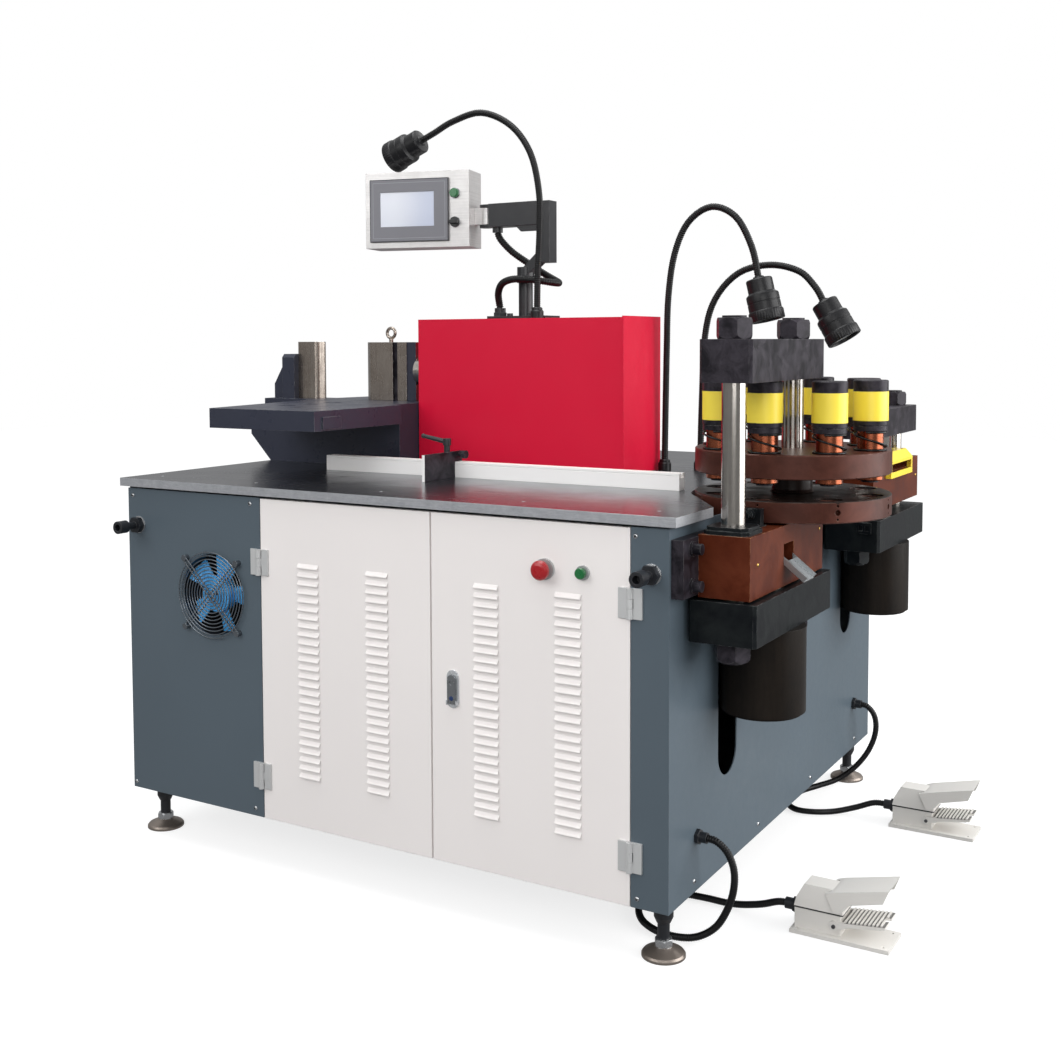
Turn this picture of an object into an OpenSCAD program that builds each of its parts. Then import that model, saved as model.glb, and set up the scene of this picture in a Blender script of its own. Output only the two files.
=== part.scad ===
// Busbar processing machine: a sheet-metal cabinet carrying a turret punching press,
// a shear, a horizontal bending unit, a screen on an arm, work lamps and two foot pedals.
// Millimetres, +Z up, front towards -Y. Lengths named x, y or z are measured from the cabinet's centre and the floor.

/* [Cabinet] */
// Width of the cabinet across the front
cabinet_w = 1480; // [1440:10:1540]
// Depth of the cabinet from the doors to the back
cabinet_d = 1360; // [1340:10:1400]
// Height of the cabinet's lower edge above the floor
cabinet_z0 = 115; // [105:1:130]
// Thickness of the cabinet's sheet panels
sheet = 3; // [2:0.5:4]
// Width of the frame's square tube
tube = 40; // [34:1:44]
// Width of the grey panel left of the doors
panel_w = 435; // [425:1:445]
// Width of the grey strip right of the doors
strip_w = 82; // [76:1:90]
// Diameter of a levelling foot's pad
foot_d = 90; // [80:1:100]

/* [Worktop] */
// Height of the worktop's upper face above the floor
table_z = 900; // [890:1:920]
// Thickness of the worktop plate
table_t = 20; // [16:1:24]
// Overhang of the worktop past the cabinet's sides
table_over = 18; // [10:1:22]
// Overhang of the worktop past the cabinet's front and back
table_lip = 10; // [6:1:14]

/* [Doors] */
// Depth of a door's folded pan
door_t = 18; // [15:1:19]
// Gap round a door
door_gap = 4; // [3:0.5:5]
// Distance from the left door's hinge line to the gap between the doors
door_split = 485; // [470:1:500]
// Thickness of a door's sheet
door_sheet = 2.5; // [2:0.5:3]
// Louvres in one column
louvre_count = 26; // [20:1:26]
// Length of one louvre
louvre_w = 60; // [50:1:70]
// Rise from one louvre to the next
louvre_pitch = 19.5; // [18:0.1:20]
// Height of a hinge
hinge_h = 61; // [56:1:66]
// Radius of a hinge pin
hinge_pin_r = 3; // [2.5:0.1:3.5]

/* [Fan] */
// Diameter of the fan's opening
fan_d = 196; // [184:1:204]
// Depth of the fan's housing
fan_t = 60; // [54:1:70]

/* [Press] */
// Distance of the press's column line from the cabinet's side
press_off = 79; // [77:1:84]
// Distance of the press's centre in front of the cabinet's centre
press_fwd = 380; // [370:1:390]
// Distance between the press's columns
column_pitch = 344; // [336:1:352]
// Diameter of a press column
column_d = 48; // [42:1:52]
// Width of the fixed press block
block_w = 108; // [102:1:114]
// Length of the fixed press block
block_l = 440; // [430:1:456]
// Height of the fixed press block
block_h = 125; // [118:1:132]
// Height of the press's top beam
beam_h = 85; // [76:1:94]
// Width of the press's lower beam
yoke_w = 142; // [134:1:144]
// Height of the press's lower beam
yoke_h = 84; // [76:1:90]
// Outer diameter of the press's cylinder
press_cyl_d = 178; // [170:1:190]
// Length of the press's cylinder
press_cyl_l = 180; // [172:1:190]
// Diameter of a cylinder's piston rod
piston_rod_d = 80; // [72:1:88]
// Diameter of a cylinder's bore
piston_d = 130; // [120:1:136]
// Radial clearance of a running fit
fit = 0.05; // [0.02:0.01:0.08]

/* [Turret] */
// Radius of the turret's discs
turret_r = 212; // [200:1:224]
// Distance of the punches' axes from the discs' rims
station_in = 40; // [38:0.5:46]
// Thickness of the upper disc
upper_t = 51; // [46:1:56]
// Thickness of the lower disc
lower_t = 45; // [40:1:50]
// Gap between the discs that takes the busbar
throat = 45; // [42:1:50]
// Diameter of a punch's head
punch_d = 74; // [68:1:76]
// Diameter of a punch's stem
stem_d = 56; // [50:1:58]
// Diameter of a punch's cutting tip
tip_d = 36; // [24:1:40]
// Reach of a punch's tip below the upper disc
tip_reach = 16; // [13:1:18]
// Free length of a stripper spring
spring_h = 42; // [40:1:48]
// Wire diameter of a stripper spring
spring_wire = 4.5; // [3.5:0.1:5]

/* [Shear] */
// Distance of the shear's centre behind the cabinet's centre
shear_back = 452; // [444:1:458]
// Distance between the shear's columns
shear_pitch = 340; // [330:1:344]
// Diameter of a shear column
shear_column_d = 40; // [36:1:44]
// Length of the shear's block
shear_l = 430; // [426:1:440]
// Width of the bar slot through the shear
shear_slot = 200; // [180:1:204]
// Height of the shear's top beam
shear_beam_h = 70; // [62:1:78]
// Thickness of the shear's moving blade
blade_t = 16; // [12:1:20]

/* [Bending unit] */
// Distance of the ram's line behind the cabinet's centre
bend_back = 50; // [46:1:56]
// Height of the bed's upper face above the worktop
bed_rise = 170; // [160:1:176]
// Thickness of the bed plate
bed_t = 50; // [44:1:56]
// Height of the bending tools
tool_h = 168; // [160:1:174]
// Depth of the bending tools along the bed
tool_w = 50; // [44:1:56]
// Clear opening between the fixed die and the ram's punch
bend_gap = 176; // [170:1:182]
// Diameter of the ram's shaft
ram_d = 80; // [70:1:86]
// Outer diameter of the bending cylinder
bend_cyl_d = 150; // [140:1:156]
// Width of the red cover across the front
cover_w = 622; // [610:1:630]
// Depth of the red cover
cover_d = 210; // [204:1:220]
// Height of the red cover above the worktop
cover_h = 397; // [385:1:410]

/* [Fence] */
// Length of the fence rail
fence_l = 1015; // [900:5:1100]
// Thickness of the fence rail
fence_t = 30; // [26:1:34]
// Height of the fence rail
fence_h = 39; // [34:1:42]
// Length of the stop plate in front of the fence
stop_l = 130; // [115:1:140]

/* [Screen arm] */
// Width of the screen's box
screen_w = 300; // [290:1:310]
// Height of the screen's box
screen_h = 205; // [196:1:214]
// Depth of the screen's box
screen_d = 100; // [92:1:106]
// Angle by which the screen is turned towards the right
screen_yaw = 14; // [10:1:18]
// Height of the arm's post above the cover
post_h = 88; // [80:1:96]
// Diameter of the arm's post
post_d = 38; // [34:1:42]

/* [Lamps] */
// Diameter of a lamp's flexible neck
neck_d = 18; // [15:0.5:20]
// Diameter of a lamp head's front ring
lamp_d = 88; // [80:1:94]
// Length of a lamp head
lamp_l = 112; // [104:1:120]

/* [Pedals] */
// Length of a foot pedal's base
pedal_l = 208; // [200:1:216]
// Width of a foot pedal's base
pedal_w = 98; // [92:1:104]
// Diameter of a pedal's cord
cord_d = 14; // [12:0.5:15]

/* [Hidden] */
$fn = 48;

// Cabinet limits
half_w = cabinet_w / 2;
half_d = cabinet_d / 2;
inner_x = half_w - sheet;
inner_y = half_d - sheet;
table_zu = table_z - table_t;
panel_z1 = table_zu - 5;
rail_z0 = panel_z1 - tube - 20;
table_x = half_w + table_over;
table_y = half_d + table_lip;
pan_z = cabinet_z0 + tube;

// Door limits: the hinge lines and the gap between the doors
door_x0 = -half_w + panel_w;
door_x1 = half_w - strip_w;
door_mid = door_x0 + door_split;
hinge_z = [cabinet_z0 + 102, panel_z1 - 151];
pin_out = 7;
barrel_r = hinge_pin_r + 3.5;
leaf_w = 26;
louvre_z0 = cabinet_z0 + 117;

// Fan
fan_x = door_x0 - 152;
fan_z = table_z - 268;
fan_frame = fan_d + 10;
fan_hub_d = 88;

// Press and turret heights, from the worktop up and down
press_x = half_w + press_off;
press_y = -press_fwd;
station_r = turret_r - station_in;
turret_y = press_y + station_r;
col_front = turret_y - column_pitch;
frame_y = turret_y - column_pitch / 2;
block_z1 = table_z - 42;
block_z0 = block_z1 - block_h;
thrust_h = 4;
lower_z0 = block_z1 + thrust_h;
lower_z1 = lower_z0 + lower_t;
upper_z0 = lower_z1 + throat;
upper_z1 = upper_z0 + upper_t;
ring_z0 = upper_z1 + spring_h;
ring_h = 22;
band_h = 62;
cap_h = 24;
cap_z1 = ring_z0 + ring_h + band_h + cap_h;
beam_gap = 2;
beam_z0 = cap_z1 + beam_gap;
beam_z1 = beam_z0 + beam_h;
yoke_gap = 4;
yoke_z1 = block_z0 - yoke_gap;
yoke_z0 = yoke_z1 - yoke_h;
yoke_l = block_l + 24;
nut_h = 46;
nut_af = 1.36 * column_d;
cyl_wall_t = 22;
notch_r = turret_r + 8;
notch_z = lower_z0 - 7;
slot_clear = 11;
slot_below = 155;
stroke = 32;

// Shear heights
shear_x = press_x;
shear_y = shear_back;
shear_z1 = table_z + 20;
shear_z0 = table_z - 90;
shear_yoke_z1 = shear_z0 - 20;
shear_yoke_z0 = shear_yoke_z1 - 80;
shear_beam_z0 = shear_z1 + 70;
shear_beam_z1 = shear_beam_z0 + shear_beam_h;
shear_stroke = 30;
shear_nut_h = 40;
shear_cyl_d = press_cyl_d - 6;

// Bending unit
bed_z = table_z + bed_rise;
bed_zu = bed_z - bed_t;
bend_y = bend_back;
cover_x0 = -295;
cover_x1 = cover_x0 + cover_w;
cover_y0 = bend_y - cover_d / 2;
cover_y1 = bend_y + cover_d / 2;
cover_z1 = table_z + cover_h;
ram_z = bed_z + tool_h / 2;
ram_head_x = cover_x0 - 66;
punch_nose_x = ram_head_x - 187;
die_x1 = punch_nose_x - bend_gap;
die_x0 = die_x1 - 66;
buttress_x0 = die_x0 - 106;
bed_x0 = die_x1 + 112;
bed_x1 = cover_x0 + 27;
bed_y0 = bend_y - 575;
bed_y1 = bend_y + 575;
bend_left = buttress_x0 - 4;

// Fence
fence_y = -280;
fence_gap = 26;
fence_x1 = press_x - turret_r - fence_gap;
fence_x0 = fence_x1 - fence_l;
stop_set = 606;
stop_x = fence_x1 - stop_set;

// Screen arm: the post, the boom's height and the pivot that carries the screen
post_x = -16;
post_y = bend_y;
post_z1 = cover_z1 + 8 + post_h;
boom_z0 = cover_z1 + 248;
boom_h = 62;
boom_wall = 8;
pan_x = post_x - 124;
screen_front = [post_x - 284, post_y - 100, cover_z1 + 298];

// Origin: middle of the machine's extents, on the floor
fitting_l = 70;
origin_x = (press_x + turret_r + bend_left) / 2;
origin_y = (table_y - half_d - fitting_l) / 2;

// Lamp routes, from the base up; each ends along the head's axis
lamp_1 = [[60, -20, cover_z1 + 26], [62, -20, cover_z1 + 120], [68, -20, cover_z1 + 230], [66, -20, cover_z1 + 330],
    [40, -20, cover_z1 + 430], [-20, -20, cover_z1 + 505], [-110, -20, cover_z1 + 545], [-200, -20, cover_z1 + 530],
    [-260, -20, cover_z1 + 505], [-300, -20, cover_z1 + 489]];
lamp_2 = [[352, 139, table_z + 26], [354, 139, table_z + 160], [357, 139, table_z + 320], [361, 139, table_z + 450],
    [378, 139, table_z + 560], [416, 139, table_z + 640], [480, 139, table_z + 676], [545, 139, table_z + 648],
    [588, 139, table_z + 572], [606, 139, table_z + 496]];
lamp_3 = [[426, 200, table_z + 26], [430, 200, table_z + 180], [438, 200, table_z + 350], [466, 200, table_z + 445],
    [530, 200, table_z + 510], [614, 200, table_z + 528], [690, 200, table_z + 510], [732, 200, table_z + 470],
    [752, 200, table_z + 436]];

// Conduit route from the boom, round the post and down to its connector on the cover
conduit_d = 20;
conduit_route = [[-104, 50, boom_z0 - 14], [-96, 54, boom_z0 - 34], [-68, 66, boom_z0 - 66], [-30, 84, boom_z0 - 96],
    [6, 98, boom_z0 - 122], [42, 98, boom_z0 - 142], [68, 80, boom_z0 - 152], [78, 50, boom_z0 - 154],
    [66, 22, boom_z0 - 152], [30, 0, boom_z0 - 146], [-20, -8, boom_z0 - 144], [-60, 2, boom_z0 - 154],
    [-84, 20, boom_z0 - 178], [-92, 38, boom_z0 - 206], [-92, 42, boom_z0 - 218]];

// Pedal cord routes along the floor, from the gland on the cabinet's side to the pedal
gland_z = [228, 240];
gland_y = [-542, 532];
gland_l = 24;
pedal_pos = [[884, -390], [903, 303]];
pedal_gland_z = 40;
pedal_side = 16;
cord_front = [[764, -542, 228], [784, -541, 224], [806, -538, 204], [818, -534, 168], [815, -530, 124], [800, -527, 80],
    [776, -528, 40], [740, -535, 15], [700, -543, 8], [650, -540, 8], [600, -508, 8], [566, -450, 8], [568, -392, 8],
    [606, -350, 8], [670, -340, 8], [740, -340, 9], [800, -341, 22], [840, -341, 37], [860, -341, 40]];
cord_rear = [[764, 532, 240], [780, 534, 236], [796, 541, 214], [800, 549, 180], [792, 554, 140], [772, 553, 96],
    [740, 544, 54], [700, 524, 22], [660, 486, 9], [634, 430, 8], [624, 370, 8], [634, 314, 8], [668, 282, 8],
    [716, 290, 8], [760, 318, 9], [806, 342, 20], [850, 352, 37], [879, 352, 40]];

// Shared shapes

// Puts a piece into the part's frame
module place() {
    translate([-origin_x, -origin_y, 0]) children();
}

// Box between two limits on each axis
module span(x, y, z) {
    translate([x[0], y[0], z[0]]) cube([x[1] - x[0], y[1] - y[0], z[1] - z[0]]);
}

// Upright, crosswise and lengthwise round bars
module bar_z(x, y, z, d) {
    translate([x, y, z[0]]) cylinder(d = d, h = z[1] - z[0]);
}
module bar_x(x, y, z, d) {
    translate([x[0], y, z]) rotate([0, 90, 0]) cylinder(d = d, h = x[1] - x[0]);
}
module bar_y(x, y, z, d) {
    translate([x, y[0], z]) rotate([-90, 0, 0]) cylinder(d = d, h = y[1] - y[0]);
}

// Hexagon prism across flats, standing along Z
module hex_z(x, y, z, af) {
    translate([x, y, z[0]]) cylinder(d = af / cos(30), h = z[1] - z[0], $fn = 6);
}

// Plate outline in the XZ plane, given a depth along Y
module plate_xz(points, y) {
    translate([0, y[1], 0]) rotate([90, 0, 0]) linear_extrude(y[1] - y[0]) polygon(points);
}

// Plate outline in the YZ plane, given a length along X
module plate_yz(points, x) {
    translate([x[0], 0, 0]) rotate([90, 0, 90]) linear_extrude(x[1] - x[0]) polygon(points);
}

// Turns a piece standing along Z so that it lies along v, at p
module aim(p, v) {
    translate(p) rotate([0, acos(v[2] / norm(v)), atan2(v[1], v[0])]) children();
}

// Smooth curve through the route points
function curve(a, b, c, d, t) = 0.5 * (2 * b + (c - a) * t + (2 * a - 5 * b + 4 * c - d) * t * t
    + (3 * b - a - 3 * c + d) * t * t * t);
function smooth(p, n) = [for (i = [0 : len(p) - 2], k = [0 : n - 1])
    curve(p[max(i - 1, 0)], p[i], p[i + 1], p[min(i + 2, len(p) - 1)], k / n), p[len(p) - 1]];
function unit(v) = v / norm(v);
// Direction of the curve at a point; ends holds the directions of the two faces that it meets
function heading(p, i, ends) = i == 0 ? ends[0] : i == len(p) - 1 ? ends[1] : unit(p[i + 1] - p[i - 1]);
// A crosswise direction carried along the curve without twisting
function carried(p, i, ends) = i == 0 ? unit(cross(ends[0], abs(ends[0][2]) > 0.9 ? [1, 0, 0] : [0, 0, 1]))
    : let (h = heading(p, i, ends), u = carried(p, i - 1, ends)) unit(u - h * (h * u));

// Tube swept along a curve
module swept(p, d, sides, ends) {
    n = len(p);
    rings = [for (i = [0 : n - 1]) let (h = heading(p, i, ends), u = carried(p, i, ends), w = cross(h, u))
        for (k = [0 : sides - 1]) p[i] + d / 2 * (cos(360 * k / sides) * u + sin(360 * k / sides) * w)];
    walls = [for (i = [0 : n - 2], k = [0 : sides - 1])
        [i * sides + k, (i + 1) * sides + k, (i + 1) * sides + (k + 1) % sides, i * sides + (k + 1) % sides]];
    polyhedron(points = rings, convexity = 8,
        faces = concat(walls, [[for (k = [0 : sides - 1]) k]],
            [[for (k = [sides - 1 : -1 : 0]) (n - 1) * sides + k]]));
}

// Cabinet

module cabinet_frame() {
    color("dimgray") place() {
        // Corner posts carry the worktop
        for (x = [-inner_x, inner_x - tube], y = [-inner_y, inner_y - tube])
            span([x, x + tube], [y, y + tube], [cabinet_z0, table_zu]);
        // Hinge posts stand behind the panel's edge and the strip
        for (x = [door_x0 - tube, door_x1])
            span([x, x + tube], [-inner_y, -inner_y + tube], [cabinet_z0, panel_z1]);
        for (z = [cabinet_z0, rail_z0]) {
            span([-inner_x + tube, inner_x - tube], [inner_y - tube, inner_y], [z, z + tube]);
            for (x = [-inner_x, inner_x - tube])
                span([x, x + tube], [-inner_y + tube, inner_y - tube], [z, z + tube]);
            span([-inner_x + tube, door_x0 - tube], [-inner_y, -inner_y + tube], [z, z + tube]);
            span([door_x1 + tube - 1, inner_x - tube + 1], [-inner_y, -inner_y + tube], [z, z + tube]);
            // The rails behind the doors sit back, clear of the doors' pans
            span([door_x0 - 1, door_x1 + 1], [-half_d + door_t + 2, -half_d + door_t + 2 + tube - 10], [z, z + tube]);
        }
        // Floor pan
        span([-inner_x + tube - 1, inner_x - tube + 1], [-half_d + door_t + tube - 10, inner_y - tube + 1],
            [pan_z - sheet, pan_z]);
    }
}

module left_panel() {
    color("slategray") place() span([-half_w, -inner_x], [-half_d, half_d], [cabinet_z0, panel_z1]);
}

// Side panel folded round the front corner, cut out for the turret and slotted for the cylinders
module right_panel() {
    color("slategray") place() difference() {
        union() {
            span([inner_x, half_w], [-half_d, half_d], [cabinet_z0, panel_z1]);
            span([door_x1, half_w], [-half_d, -inner_y], [cabinet_z0, panel_z1]);
        }
        span([inner_x - 1, half_w + 1], [turret_y - turret_r, turret_y + turret_r], [notch_z, panel_z1 + 1]);
        bulge_slot(press_y, yoke_z0 - press_cyl_l - slot_below, yoke_z0 + 4, press_cyl_d / 2);
        bulge_slot(shear_y, shear_yoke_z0 - press_cyl_l - slot_below / 2, shear_yoke_z0 + 4, shear_cyl_d / 2);
    }
}

// Slot with a round lower end for the side of a cylinder of radius r that reaches through the panel
module bulge_slot(y, z0, z1, r) {
    w = 2 * (sqrt(max(0, r * r - press_off * press_off)) + slot_clear);
    bar_x([inner_x - 1, half_w + 1], y, z0 + w / 2, w);
    span([inner_x - 1, half_w + 1], [y - w / 2, y + w / 2], [z0 + w / 2, z1]);
}

module front_panel() {
    color("slategray") place() difference() {
        span([-inner_x, door_x0], [-half_d, -inner_y], [cabinet_z0, panel_z1]);
        bar_y(fan_x, [-half_d - 1, -inner_y + 1], fan_z, fan_d);
    }
}

module back_panel() {
    color("slategray") place() span([-inner_x, inner_x], [inner_y, half_d], [cabinet_z0, panel_z1]);
}

// Thick plate with a bay cut for the turret and a row of screw holes along each edge
module worktop() {
    color("silver") place() translate([0, 0, table_zu]) linear_extrude(table_t) difference() {
        translate([-table_x, -table_y]) square([2 * table_x, 2 * table_y]);
        translate([press_x, turret_y]) circle(r = notch_r, $fn = 96);
        polygon([[table_x + 1, turret_y - 300], [press_x - 0.82 * notch_r, turret_y - 0.55 * notch_r],
            [press_x, turret_y], [press_x - 0.82 * notch_r, turret_y + 0.55 * notch_r],
            [table_x + 1, turret_y + 300]]);
        for (x = [-688, -374, 0, 374, 688], y = [-1, 1])
            translate([x, y * (half_d - 65)]) circle(d = 9);
    }
}

// Flat pads on threaded stems, each with a lock nut, in sockets welded under the frame
module levelling_feet() {
    socket_h = 46;
    stem_d = 25;
    z1 = cabinet_z0;
    color("#2b2b2d") place() for (x = [-1, 1], y = [-1, 1]) translate([x * (half_w - 40), y * (half_d - 65), 0]) {
        rotate_extrude() polygon([[0, 0], [foot_d / 2, 0], [foot_d / 2, 5], [foot_d / 2 - 3, 9], [foot_d / 2 - 18, 16], [15, 21], [0, 21]]);
        nut_z(0, 0, [20, 36], 34);
        bar_z(0, 0, [35, z1 - socket_h + 1], stem_d);
        rotate_extrude() polygon([[0, z1 - socket_h], [14.5, z1 - socket_h], [20, z1 - socket_h + 12], [20, z1], [0, z1]]);
    }
}

// Fixed hinge leaves with their pins; side is -1 where the leaf lies to the left of the pin
module hinge_fixed(x, z, side) {
    y = -half_d - pin_out;
    knuckle = hinge_h / 3;
    for (k = [-1, 1]) {
        zc = z + k * knuckle;
        bar_z(x, y, [zc - knuckle / 2, zc + knuckle / 2], 2 * barrel_r);
        span([min(x, x + side * 12), max(x, x + side * 12)], [-half_d - 5, -half_d],
            [zc - knuckle / 2, zc + knuckle / 2]);
    }
    bar_z(x, y, [z - hinge_h / 2, z + hinge_h / 2], 2 * hinge_pin_r);
    far = x + side * leaf_w;
    near = x + side * (barrel_r + 1);
    span([min(far, near), max(far, near)], [-half_d - 5, -half_d], [z - hinge_h / 2, z + hinge_h / 2]);
}

module door_hinges() {
    color("lightgray") place() for (z = hinge_z) {
        hinge_fixed(door_x0, z, -1);
        hinge_fixed(door_x1, z, 1);
    }
}

// Middle knuckle and leaf that ride on a door; side is 1 where the door lies to the right of the pin
module hinge_moving(x, z, side) {
    y = -half_d - pin_out;
    h = hinge_h / 3 - 1;
    difference() {
        union() {
            bar_z(x, y, [z - h / 2, z + h / 2], 2 * barrel_r);
            span([min(x, x + side * leaf_w), max(x, x + side * leaf_w)], [-half_d - 5, -half_d + 0.5], [z - h / 2, z + h / 2]);
        }
        bar_z(x, y, [z - h, z + h], 2 * (hinge_pin_r + fit));
    }
    near = x + side * (barrel_r + 1);
    far = x + side * leaf_w;
    span([min(far, near), max(far, near)], [-half_d - 5, -half_d + 0.5], [z - hinge_h / 2, z + hinge_h / 2]);
}

// One column of pressed louvres: each has a slit behind a hood that opens downwards
module louvre_slits(x) {
    for (i = [0 : louvre_count - 1]) span([x - louvre_w / 2 + 3, x + louvre_w / 2 - 3],
        [-half_d - 1, -half_d + door_sheet + 1], [louvre_z0 + i * louvre_pitch, louvre_z0 + i * louvre_pitch + 7]);
}
module louvre_hoods(x) {
    for (i = [0 : louvre_count - 1]) translate([0, -half_d, louvre_z0 + i * louvre_pitch])
        plate_yz([[0.5, 11], [0, 11], [-5.5, 2.5], [-5.5, 0], [-4, 0], [-4, 2], [0, 8], [0.5, 8]],
            [x - louvre_w / 2, x + louvre_w / 2]);
}

// Folded pan of a door, open at the back
module door_pan(x0, x1) {
    z0 = cabinet_z0;
    z1 = panel_z1 - 2;
    difference() {
        span([x0, x1], [-half_d, -half_d + door_t], [z0, z1]);
        span([x0 + door_sheet, x1 - door_sheet], [-half_d + door_sheet, -half_d + door_t + 1],
            [z0 + door_sheet, z1 - door_sheet]);
    }
}

module left_door() {
    x0 = door_x0 + door_gap / 2;
    x1 = door_mid - door_gap / 2;
    mid = (door_x0 + door_mid) / 2;
    color("#efecea") place() {
        difference() {
            door_pan(x0, x1);
            for (k = [-1, 1]) louvre_slits(mid + k * 98);
        }
        for (k = [-1, 1]) louvre_hoods(mid + k * 98);
        for (z = hinge_z) hinge_moving(door_x0, z, 1);
    }
}

lock_x = door_mid + 57;
lock_z = table_z - 403;
estop_x = door_x1 - 194;
start_x = door_x1 - 106;
button_z = table_z - 125;
estop_stem = 18;
start_stem = 16;

module right_door() {
    x0 = door_mid + door_gap / 2;
    x1 = door_x1 - door_gap / 2;
    mid = (door_mid + door_x1) / 2;
    color("#efecea") place() {
        difference() {
            union() {
                door_pan(x0, x1);
                // Button collars
                bar_y(estop_x, [-half_d - 6, -half_d + 1], button_z, 44);
                bar_y(start_x, [-half_d - 5, -half_d + 1], button_z, 30);
                // Lock escutcheon with ears for the lever
                translate([lock_x, 0, lock_z]) {
                    span([-15, 15], [-half_d - 3, -half_d + 0.5], [-26, 26]);
                    for (k = [-1, 1]) bar_y(0, [-half_d - 3, -half_d + 0.5], k * 26, 30);
                    for (k = [-1, 1]) span([min(k * 10.5, k * 13.5), max(k * 10.5, k * 13.5)], [-half_d - 9, -half_d],
                        [-34, -24]);
                }
            }
            for (k = [-1, 1]) louvre_slits(mid + k * 98);
            bar_y(estop_x, [-half_d - 7, -half_d + 4], button_z, estop_stem + 2 * fit);
            bar_y(start_x, [-half_d - 6, -half_d + 4], button_z, start_stem + 2 * fit);
        }
        for (k = [-1, 1]) louvre_hoods(mid + k * 98);
        bar_x([lock_x - 11, lock_x + 11], -half_d - 6, lock_z - 29, 3);
        for (z = hinge_z) hinge_moving(door_x1, z, -1);
    }
}

// Flush lever of the door lock, pivoted at its lower end
module lock_handle() {
    color("gray") place() translate([lock_x, -half_d, lock_z]) difference() {
        union() {
            bar_x([-10, 10], -6, -29, 5.6);
            span([-10, 10], [-8.8, -3.3], [-29, 22]);
            bar_y(0, [-8.8, -3.3], 22, 20);
        }
        bar_x([-11, 11], -6, -29, 3 + 2 * fit);
        bar_y(0, [-10, -7.6], 14, 9);
    }
}

// Mushroom head of the emergency stop
module estop_button() {
    color("red") place() translate([estop_x, -half_d, button_z]) rotate([90, 0, 0]) {
        translate([0, 0, -14]) cylinder(d = estop_stem, h = 30);
        rotate_extrude() polygon([[0, 14], [14, 14], [20, 18], [20, 25], [17, 29], [11, 31], [0, 31.5]]);
    }
}

module start_button() {
    color("green") place() translate([start_x, -half_d, button_z]) rotate([90, 0, 0]) {
        translate([0, 0, -12]) cylinder(d = start_stem, h = 22);
        rotate_extrude() polygon([[0, 9], [11.5, 9], [11.5, 16], [10, 18], [0, 18.5]]);
    }
}

// Fan

module fan_housing() {
    y0 = -inner_y;
    color("#2f3133") place() {
        difference() {
            span([fan_x - fan_frame / 2, fan_x + fan_frame / 2], [y0, y0 + fan_t],
                [fan_z - fan_frame / 2, fan_z + fan_frame / 2]);
            bar_y(fan_x, [y0 - 1, y0 + fan_t + 1], fan_z, fan_d);
        }
        // Motor on three spokes, with the shaft that carries the rotor
        bar_y(fan_x, [y0 + fan_t - 24, y0 + fan_t], fan_z, fan_hub_d);
        bar_y(fan_x, [y0 + fan_t - 50, y0 + fan_t - 23], fan_z, 8);
        translate([fan_x, y0 + fan_t - 10, fan_z]) for (a = [90, 210, 330]) rotate([0, a, 0])
            translate([30, 0, -6]) cube([fan_d / 2 - 27, 7, 12]);
    }
}

module fan_rotor() {
    y0 = -inner_y + fan_t - 52;
    hub = fan_hub_d / 2;
    color("royalblue") place() difference() {
        union() {
            bar_y(fan_x, [y0, y0 + 27.5], fan_z, fan_hub_d);
            // Pitched blades that widen towards their round tips
            intersection() {
                bar_y(fan_x, [y0 - 5, y0 + 33], fan_z, fan_d - 8);
                for (a = [0 : 72 : 288]) translate([fan_x, y0 + 13.5, fan_z]) rotate([0, a, 0]) rotate([110, 0, 0])
                    translate([0, 0, -1.25]) linear_extrude(2.5) polygon([[hub - 8, -16], [fan_d / 2, -34], [fan_d / 2, 34], [hub - 8, 16]]);
            }
        }
        bar_y(fan_x, [y0 - 1, y0 + 29], fan_z, 8 + 2 * fit);
    }
}

// Wire guard on the panel: closely spaced rings between two pairs of crossing wires, on four feet
module fan_guard() {
    wire = 2.8;
    far = fan_d / 2 + 20;
    color("#9aa2a8") place() translate([fan_x, -half_d, fan_z]) rotate([90, 0, 0]) {
        for (r = [9 : 8.6 : fan_d / 2 + 8]) translate([0, 0, 9]) rotate_extrude($fn = 64) translate([r, 0]) circle(d = wire);
        for (k = [-1, 1]) {
            rotate([0, 0, -45]) translate([-far, 5 * k - wire / 2, 9.4]) cube([2 * far, wire, wire]);
            rotate([0, 0, 45]) translate([-far, 5 * k - wire / 2, 8.6 - wire]) cube([2 * far, wire, wire]);
        }
        for (a = [45 : 90 : 315]) rotate([0, 0, a]) translate([far, 0, 0]) cylinder(d = 15, h = 12.5);
    }
}

// Oil tank with its motor and valve block on the floor pan
module hydraulic_unit() {
    tank = [430, 360, 300];
    color("#3a5f7a") place() translate([-230, -60, pan_z]) {
        for (x = [20, tank[0] - 60], y = [30, tank[1] - 70]) translate([x, y, 0]) cube([40, 40, 20]);
        difference() {
            translate([0, 0, 19]) cube(tank);
            translate([4, 4, 23]) cube([tank[0] - 8, tank[1] - 8, tank[2] - 8]);
        }
        translate([-12, -12, 18 + tank[2]]) cube([tank[0] + 24, tank[1] + 24, 10]);
        translate([120, 180, 27 + tank[2]]) cylinder(d = 180, h = 26);
        translate([120, 180, 52 + tank[2]]) cylinder(d = 158, h = 210);
        translate([120, 180, 261 + tank[2]]) cylinder(d = 168, h = 30);
        translate([260, 60, 27 + tank[2]]) cube([120, 90, 110]);
        translate([320, 290, 27 + tank[2]]) cylinder(d = 60, h = 45);
    }
}

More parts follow.
